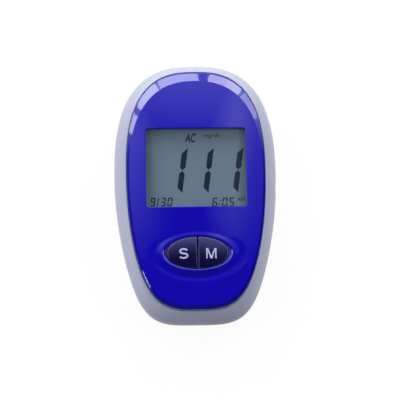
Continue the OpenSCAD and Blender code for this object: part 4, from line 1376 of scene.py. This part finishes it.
HEAD = ((0.2, 0), (0.6, 0.03), (0.85, 0.13), (0.97, 0.32), (1.0, 0.5))   # shares of radius and height
HEAD_EDGE = 0.06
RECESS = ((0.62, 0.14), (0.56, 0.13), (0.26, 0.09))   # cross slot: shares of the head's radius
SCREW_SIDES = 32


def screw_shape(x, y, head_r, head_low, seat, shank_r, end, pitch):
    """Pan-head screw with its head at the lower end and a ridged shank."""
    tall = seat - head_low
    profile = [(head_r * wide, head_low + tall * up) for wide, up in HEAD]
    profile += [(head_r, seat - HEAD_EDGE), (head_r - HEAD_EDGE, seat), (shank_r * 0.8, seat)]
    z = seat + pitch
    while z < end - pitch * 1.5:
        profile += [(shank_r * 0.78, z - pitch * 0.3), (shank_r, z), (shank_r, z + pitch * 0.08),
                    (shank_r * 0.78, z + pitch * 0.4)]
        z += pitch
    profile += [(shank_r * 0.7, end - pitch), (shank_r * 0.3, end)]
    return turned(profile, (x, y, 0), sides=SCREW_SIDES)


def screws(name, node, points, sizes, pitch):
    """A set of screws. Sizes are head radius, head bottom, seat, shank radius and tip."""
    head_r, head_low, seat, _, _ = sizes
    slot_heights = (head_low - 0.2, head_low + 0.1, head_low + (seat - head_low) * 0.55)
    shape = Shape()
    cuts = []
    for x, y in points:
        shape += screw_shape(x, y, *sizes, pitch)
        cuts.append(skin([at(plus_outline(x, y, 2 * head_r * reach, 2 * head_r * half), z)
                          for (reach, half), z in zip(RECESS, slot_heights)]))
    piece(name, shape, SCREW_STEEL, "case", [node], cut=cuts)


# ---------------------------------------------------------------- batteries

SLEEVE_IN = 4.95
CRIMP = (4.6, 4.8)                # radii of the sleeve's edge where it is shrunk over the can
BAND_FROM = 0.74                  # share of the cell's length at which the pale band starts
BAND_IN = 0.004
SIGN_SIZE = (3.2, 0.9)
SIGN_GRID = 0.35
PLUS_IN = 7                       # how far in from their ends of the cell the two signs lie
MINUS_IN = 6
SIGN_T = 0.03
SPRING_LEN = 3.7
SPRING_TURNS = 3.5
SPRING_STEPS = 98
SPRING_R = (3.6, 2.0)
SPRING_WIRE = 0.3
CONTACT_HALF = 4.2
CONTACT_T = 0.3
DIMPLE = ((2.1, -0.02), (1.9, 0.1), (1.5, 0.24), (0.9, 0.3), (0.3, 0.31))


def sleeve_end(y, into, shrunk):
    """Half of a sleeve's profile at an end, from inside to outside. It is shrunk over or cut."""
    inner, edge = CRIMP if shrunk else (SLEEVE_IN, CELL_R - 0.02)
    return [(SLEEVE_IN - 0.02, y + into * 0.2), (inner, y + into * 0.03), (edge, y),
            (CELL_R - 0.1, y + into * 0.04), (CELL_R, y + into * 0.2)]


def tube(profile, x0):
    """Tube whose closed profile of (radius, place along Y) runs round a cell's axis."""
    rings = [[(r * c, h, r * s) for c, s in circle(ROUND)] for r, h in profile]
    return skin(rings, loop=True).turned_over().moved(x0, 0, CELL_Z)


def cell_sign(x0, long, outline):
    """A sign that lies on the cell's round sleeve, on the side that faces the door."""
    wide = SIGN_SIZE[0] / 2
    loose = [p for p in grid((-wide, 0), (wide, long), SIGN_GRID) if inside(*p, outline)
             and distance_to(outline, *p) > 0.08]
    mark = raised(filled([outline], loose), lambda u, v: 0, SIGN_T)
    base = CELL_R - 0.01
    return mark.mapped(lambda u, v, w: (x0 + (base + w) * math.sin(u / CELL_R), v,
                                        CELL_Z - (base + w) * math.cos(u / CELL_R))).turned_over()


def cell(node, side, toward):
    """An AAA cell: steel can with crimped ends, a two-part sleeve and its plus and minus signs."""
    low, high = node_box(node)
    start = low.y if toward > 0 else high.y
    long = high.y - low.y
    x0 = side * CELL_X * toward
    band = long * BAND_FROM
    can = turned([(3.4, 0.12), (3.9, 0.02), (4.4, 0.0), (4.7, 0.06), (4.85, 0.25), (SLEEVE_IN, 0.6),
                  (SLEEVE_IN, long - 1.7), (4.8, long - 1.2), (4.4, long - 0.98), (3.9, long - 0.95),
                  (3.5, long - 1.1), (2.6, long - 1.1), (2.2, long - 0.9), (1.9, long - 0.75),
                  (1.9, long - 0.14), (1.82, long - 0.04), (1.6, long)], (x0, 0, CELL_Z), "Y")
    sleeve = sleeve_end(0.12, 1, True) + sleeve_end(band, -1, False)[::-1]
    pale = sleeve_end(band, 1, False) + sleeve_end(long - 1.12, -1, True)[::-1]
    pale = [(r - BAND_IN, h) for r, h in pale]
    plus = plus_outline(0, long - PLUS_IN, *SIGN_SIZE)
    minus = minus_outline(0, MINUS_IN, *SIGN_SIZE)
    for label, shape, material, stands_for in (
            ("can", can, CELL_STEEL, [node]), ("sleeve", tube(sleeve, x0), CELL_SLEEVE, ()),
            ("band", tube(pale, x0), CELL_BAND, ()),
            ("plus", cell_sign(x0, long, plus), CELL_SLEEVE, ()),
            ("minus", cell_sign(x0, long, minus), CELL_BAND, ())):
        shape = shape.mapped(lambda x, y, z: (toward * x, start + toward * y, z))
        piece(node + "_" + label, shape, material, "case", stands_for)


def spring(x, y, toward):
    """Cone-shaped coil from a wide foot at y to a narrow end."""
    path = []
    for k in range(SPRING_STEPS + 1):
        t = k / SPRING_STEPS
        rise = min(max((t - 0.12) / 0.76, 0), 1)
        radius = SPRING_R[0] - (SPRING_R[0] - SPRING_R[1]) * t
        turn = math.tau * SPRING_TURNS * t
        path.append((x + radius * math.cos(turn), y + toward * (0.3 + (SPRING_LEN - 0.6) * rise),
                     CELL_Z + radius * math.sin(turn)))
    return wire(path, SPRING_WIRE)


def dome_contact(x, y, toward):
    """Low round dimple pressed into a contact plate."""
    profile = DIMPLE if toward > 0 else [(r, -h) for r, h in reversed(DIMPLE)]
    return turned(profile, (x, y, CELL_Z), "Y", 32)


def battery_contacts():
    """The three contact plates, with their coil springs, dimples and soldering tags."""
    low, high = BAY_LOW[1], BAY_HIGH[1]
    upright = (CELL_Z - 3.6, BAY_TOP - 0.6)
    for side, name, node in ((-1, "spring_contact", "spring_terminal"),
                             (1, "plate_contact", "plate_terminal")):
        along = (low, low + CONTACT_T)
        plate = beam(side * CELL_X, CONTACT_HALF, along, upright, 0.08)
        tag = beam(side * TAG_X, 0.8, along, (BAY_TOP - 1, board_low.z), 0.06)
        extra = spring(-CELL_X, low + 0.22, 1) if side < 0 else dome_contact(CELL_X, low + 0.29, 1)
        piece(name, plate, SPRING_STEEL, "case", [node], join=[tag, extra])
    bridge = beam(0, CELL_X + CONTACT_HALF, (high - CONTACT_T, high), upright, 0.08)
    piece("bridge_plate", bridge, SPRING_STEEL, "case", ["bridge_contact"],
          join=[spring(CELL_X, high - 0.22, -1), dome_contact(-CELL_X, high - 0.29, -1)])


# ---------------------------------------------------------------- stage

CAMERA_AT = (-16.531, -53.100, 425.802)
CAMERA_AIM = (1.56, -1.74, 9.5)
CAMERA_ROLL = math.radians(-1.045)
SENSOR = 36.0
FOCAL = 108.9
LIGHT_FAR = 1.05
LIGHT_COLOUR = (0.93, 0.94, 1.0)
COOL_COLOUR = (0.90, 0.95, 1.12)
UNDER_FAR = 0.7
UNDER_SIZE = 0.5
UNDER_RADIANCE = 4.5
# each light: the directions that it fills, round the meter and up from the table, and its radiance
LIGHTS = (
    ("panel_1", (155, 144.0), (9, 30), 4.2, LIGHT_COLOUR),
    ("panel_2", (138.5, 115.2), (9, 30), 4.4, LIGHT_COLOUR),
    ("panel_3", (113.6, 86.3), (9, 30), 4.1, LIGHT_COLOUR),
    ("panel_4", (80.7, 52.2), (9, 30), 4.2, LIGHT_COLOUR),
    ("panel_5", (49.8, 31), (9, 30), 2.3, LIGHT_COLOUR),
    ("glint_light", (-162, -149), (29.6, 31.0), 8.0, LIGHT_COLOUR),
    ("left_light", (-198, -162), (42, 52), 6.6, LIGHT_COLOUR),
    ("right_light", (-22, 16), (42, 52), 8.6, LIGHT_COLOUR),
    ("low_light", (-186, -152), (10, 24), 3.2, COOL_COLOUR))
SKY_LEVEL = 2.0
SKY_BELOW = 0.4
SKY_WARM = (0.96, 0.97, 1.0)
SKY_COOL = (0.62, 0.78, 1.25)
# grey levels along a direction that runs from -1 to 1
SKY_RIM = ((-1, 0.32), (-0.3, 0.48), (1, 0.48))
SKY_SLOPE = ((-1, 0.03), (-0.7, 0.02), (-0.2, 0.0), (0.10, 0.005), (0.22, 0.05), (0.27, 0.17),
             (0.30, 0.25), (0.36, 0.38), (0.45, 0.55), (0.6, 0.5), (0.8, 0.3), (1, 0.25))
SKY_NEAR = ((-1, 0.0), (-0.36, 0.34), (-0.17, 0.35), (-0.07, 0.06), (-0.02, 0.0), (0.05, 0.0),
            (0.11, 0.25), (0.16, 0.42), (0.20, 0.3), (0.24, 0.155), (0.36, 0.15), (1, 0.0))
SKY_FLANK = ((-1, 0.0), (-0.80, 0.0), (-0.72, 0.4), (-0.60, 0.9), (-0.42, 0.8), (-0.32, 0.0),
             (0.32, 0.0), (0.42, 0.7), (0.60, 0.8), (0.72, 0.35), (0.80, 0.0), (1, 0.0))
FLOOR_R = 2000.0
FLOOR_DROP = 0.05
FLOOR_SIDES = 96
FLOOR_PAINT = 0.10
FLOOR_GLOW = 0.92


def camera():
    """Camera that looks down on the meter from a long way off, turned a little about its axis."""
    data = bpy.data.cameras.new("camera")
    data.sensor_width = SENSOR
    data.lens = FOCAL
    data.clip_start = 0.01
    data.clip_end = 20
    holder = bpy.data.objects.new("camera", data)
    scene.collection.objects.link(holder)
    back = (Vector(CAMERA_AT) - Vector(CAMERA_AIM)).normalized()
    right = Vector((0, 1, 0)).cross(back).normalized()
    up = back.cross(right)
    c, s = math.cos(CAMERA_ROLL), math.sin(CAMERA_ROLL)
    right, up = right * c + up * s, up * c - right * s
    turn = Matrix((right, up, back)).transposed().to_4x4()
    holder.matrix_world = Matrix.Translation(Vector(CAMERA_AT) * MM) @ turn
    scene.camera = holder


def aimed_light(name, place, wide, tall, radiance, colour):
    """Flat soft light at a place, turned to face the meter."""
    data = bpy.data.lights.new(name, "AREA")
    data.shape = "RECTANGLE"
    data.size = wide
    data.size_y = tall
    data.energy = radiance * math.pi * data.size * data.size_y
    data.color = colour
    light = bpy.data.objects.new(name, data)
    scene.collection.objects.link(light)
    light.location = place
    light.rotation_euler = place.to_track_quat("Z", "Y").to_euler()
    light.visible_camera = False


def lights():
    """The lights round the meter, and one below it for the views of its back."""
    for name, (az_a, az_b), (el_a, el_b), radiance, colour in LIGHTS:
        az, el = math.radians((az_a + az_b) / 2), math.radians((el_a + el_b) / 2)
        way = Vector((math.cos(el) * math.cos(az), math.cos(el) * math.sin(az), math.sin(el)))
        wide = 2 * LIGHT_FAR * math.cos(el) * math.tan(math.radians(abs(az_a - az_b)) / 2)
        tall = 2 * LIGHT_FAR * math.tan(math.radians(abs(el_b - el_a)) / 2)
        aimed_light(name, way * LIGHT_FAR, wide, tall, radiance, colour)
    aimed_light("under_light", Vector((0, 0, -UNDER_FAR)), UNDER_SIZE, UNDER_SIZE, UNDER_RADIANCE,
                LIGHT_COLOUR)


def ramp_of(tree, value, stops):
    """Grey level along a value that runs from -1 to 1."""
    ramp = add_node(tree, "ShaderNodeValToRGB", {"Fac": mapped_range(tree, value, -1.0, 1.0)})
    row = ramp.color_ramp.elements
    row.remove(row[1])
    for k, (place, level) in enumerate(stops):
        element = row[0] if k == 0 else row.new((place + 1) / 2)
        element.position = (place + 1) / 2
        element.color = rgb(level, level, level)
    return ramp.outputs["Color"]


def sky():
    """Studio surround: dark behind the camera, rising to a bright slope on the port side."""
    world = bpy.data.worlds.new("studio")
    scene.world = world
    world.use_nodes = True
    tree = world.node_tree
    way = add_node(tree, "ShaderNodeTexCoord").outputs["Generated"]
    split = add_node(tree, "ShaderNodeSeparateXYZ", {"Vector": way})
    x, y, z = (split.outputs[k] for k in "XYZ")
    near = scaled(tree, ramp_of(tree, x, SKY_NEAR), mapped_range(tree, y, 0.02, 0.22))
    flank = scaled(tree, ramp_of(tree, x, SKY_FLANK), mapped_range(tree, y, 0.0, 0.35))
    sides = vector_math(tree, "MAXIMUM", near, flank)
    dome = vector_math(tree, "MAXIMUM", ramp_of(tree, y, SKY_SLOPE), sides)
    ring = colour_mix(tree, mapped_range(tree, z, 0.08, 0.2), ramp_of(tree, y, SKY_RIM), dome)
    tint = colour_mix(tree, mapped_range(tree, y, -0.1, -0.7), rgb(*SKY_WARM), rgb(*SKY_COOL))
    tinted = vector_math(tree, "MULTIPLY", ring, tint)
    whole = colour_mix(tree, mapped_range(tree, z, -0.1, 0.0), rgb(*[SKY_BELOW] * 3), tinted)
    seen = add_node(tree, "ShaderNodeLightPath").outputs["Is Camera Ray"]
    shown = colour_mix(tree, seen, scaled(tree, whole, SKY_LEVEL), rgb(1, 1, 1))
    tree.links.new(shown, tree.nodes["Background"].inputs["Color"])
    tree.nodes["Background"].inputs["Strength"].default_value = 1.0


def floor():
    """Pale table. It can be looked through from below, and light from below passes it."""
    edge = [(FLOOR_R * c, FLOOR_R * s) for c, s in circle(FLOOR_SIDES)]
    obj = raw_object("floor", Shape(at(edge, -FLOOR_DROP), [tuple(range(FLOOR_SIDES))]))
    material, tree = new_material("pale_table")
    tree.nodes.remove(tree.nodes["Principled BSDF"])
    paint = add_node(tree, "ShaderNodeBsdfDiffuse", {"Color": rgb(*[FLOOR_PAINT] * 3)}).outputs["BSDF"]
    glow = add_node(tree, "ShaderNodeEmission", {"Color": rgb(1, 1, 1), "Strength": FLOOR_GLOW})
    path = add_node(tree, "ShaderNodeLightPath").outputs
    seen = math_of(tree, "MAXIMUM", path["Is Camera Ray"], path["Is Glossy Ray"])
    seen = math_of(tree, "MAXIMUM", seen, path["Is Transmission Ray"])
    both = add_node(tree, "ShaderNodeAddShader", {0: paint, 1: glow.outputs["Emission"]})
    shown = add_node(tree, "ShaderNodeMixShader", {0: seen, 1: paint, 2: both.outputs["Shader"]})
    back = add_node(tree, "ShaderNodeNewGeometry").outputs["Backfacing"]
    hide = math_of(tree, "MAXIMUM", back, path["Is Shadow Ray"])
    clear = add_node(tree, "ShaderNodeBsdfTransparent").outputs["BSDF"]
    whole = add_node(tree, "ShaderNodeMixShader", {0: hide, 1: shown.outputs["Shader"], 2: clear})
    tree.links.new(whole.outputs["Shader"], tree.nodes["Material Output"].inputs["Surface"])
    obj.data.materials.append(material)


# ---------------------------------------------------------------- assembly

def polished(node, material, edge):
    """Gives a CAD node its finish, and rounds its edges a little."""
    obj = frame["nodes"][node]
    if not obj.material_slots:
        obj.data.materials.append(material)
    for holder in obj.material_slots:
        holder.material = material
    weld = obj.modifiers.new("weld", "WELD")
    weld.merge_threshold = 1e-6
    if edge:
        bevel = obj.modifiers.new("edges", "BEVEL")
        bevel.width = edge * MM
        bevel.segments = 2
        bevel.limit_method = "ANGLE"
        bevel.angle_limit = math.radians(40)


S_BOX = ((-6.3, -23.0), (-3.2, -19.4))
M_BOX = ((2.8, -23.0), (6.25, -19.55))
BACK_SCREW = (1.9, 1.5, 3.0, 1.0, 11.5)
SMALL_SCREW = (1.3, board_low.z - 0.8, board_low.z, 0.6, board_low.z + 2.4)

rear_shell()
front_shell()
cover_shell()
key("s_key_top", -1, "s_key", "s_button")
key("m_key_top", 1, "m_key", "m_button")
legend("s_legend", letter_s(*S_BOX, 0.56), "s_key")
legend("m_legend", letter_m(*M_BOX, 0.46), "m_key")
display()
strip_guide()
jack_socket()
door_panel()
screws("back_screws", "housing_screws", POSTS, BACK_SCREW, 0.6)
screws("small_screws", "board_screws", BOARD_POINTS, SMALL_SCREW, 0.4)
cell("left_cell", -1, 1)
cell("right_cell", 1, -1)
battery_contacts()
for node, material, edge in (
        ("display_lens", clear_window(), 0), ("lcd_panel", PANEL_GLASS, 0.08),
        ("lcd_holder", HOLDER_WHITE, 0.1), ("zebra_strip", ELASTOMER, 0.1),
        ("circuit_board", BOARD_MASK, 0.05), ("microcontroller", CHIP_BLACK, 0.05),
        ("amplifier_chip", CHIP_BLACK, 0.05), ("memory_chip", CHIP_BLACK, 0.05),
        ("clock_crystal", CAN_STEEL, 0.05), ("passive_parts", CERAMIC, 0.06),
        ("buzzer", SOUNDER_BLACK, 0.15), ("strip_connector", CONNECTOR_CREAM, 0.06),
        ("strip_contacts", GOLD_FINGER, 0.03), ("jack_contacts", SPRING_STEEL, 0.03),
        ("switch_bodies", SWITCH_BLACK, 0.1), ("s_plunger", PLUNGER_TAN, 0.1),
        ("m_plunger", PLUNGER_TAN, 0.1)):
    polished(node, material, edge)
camera()
lights()
sky()
floor()

scene.view_settings.view_transform = "Standard"
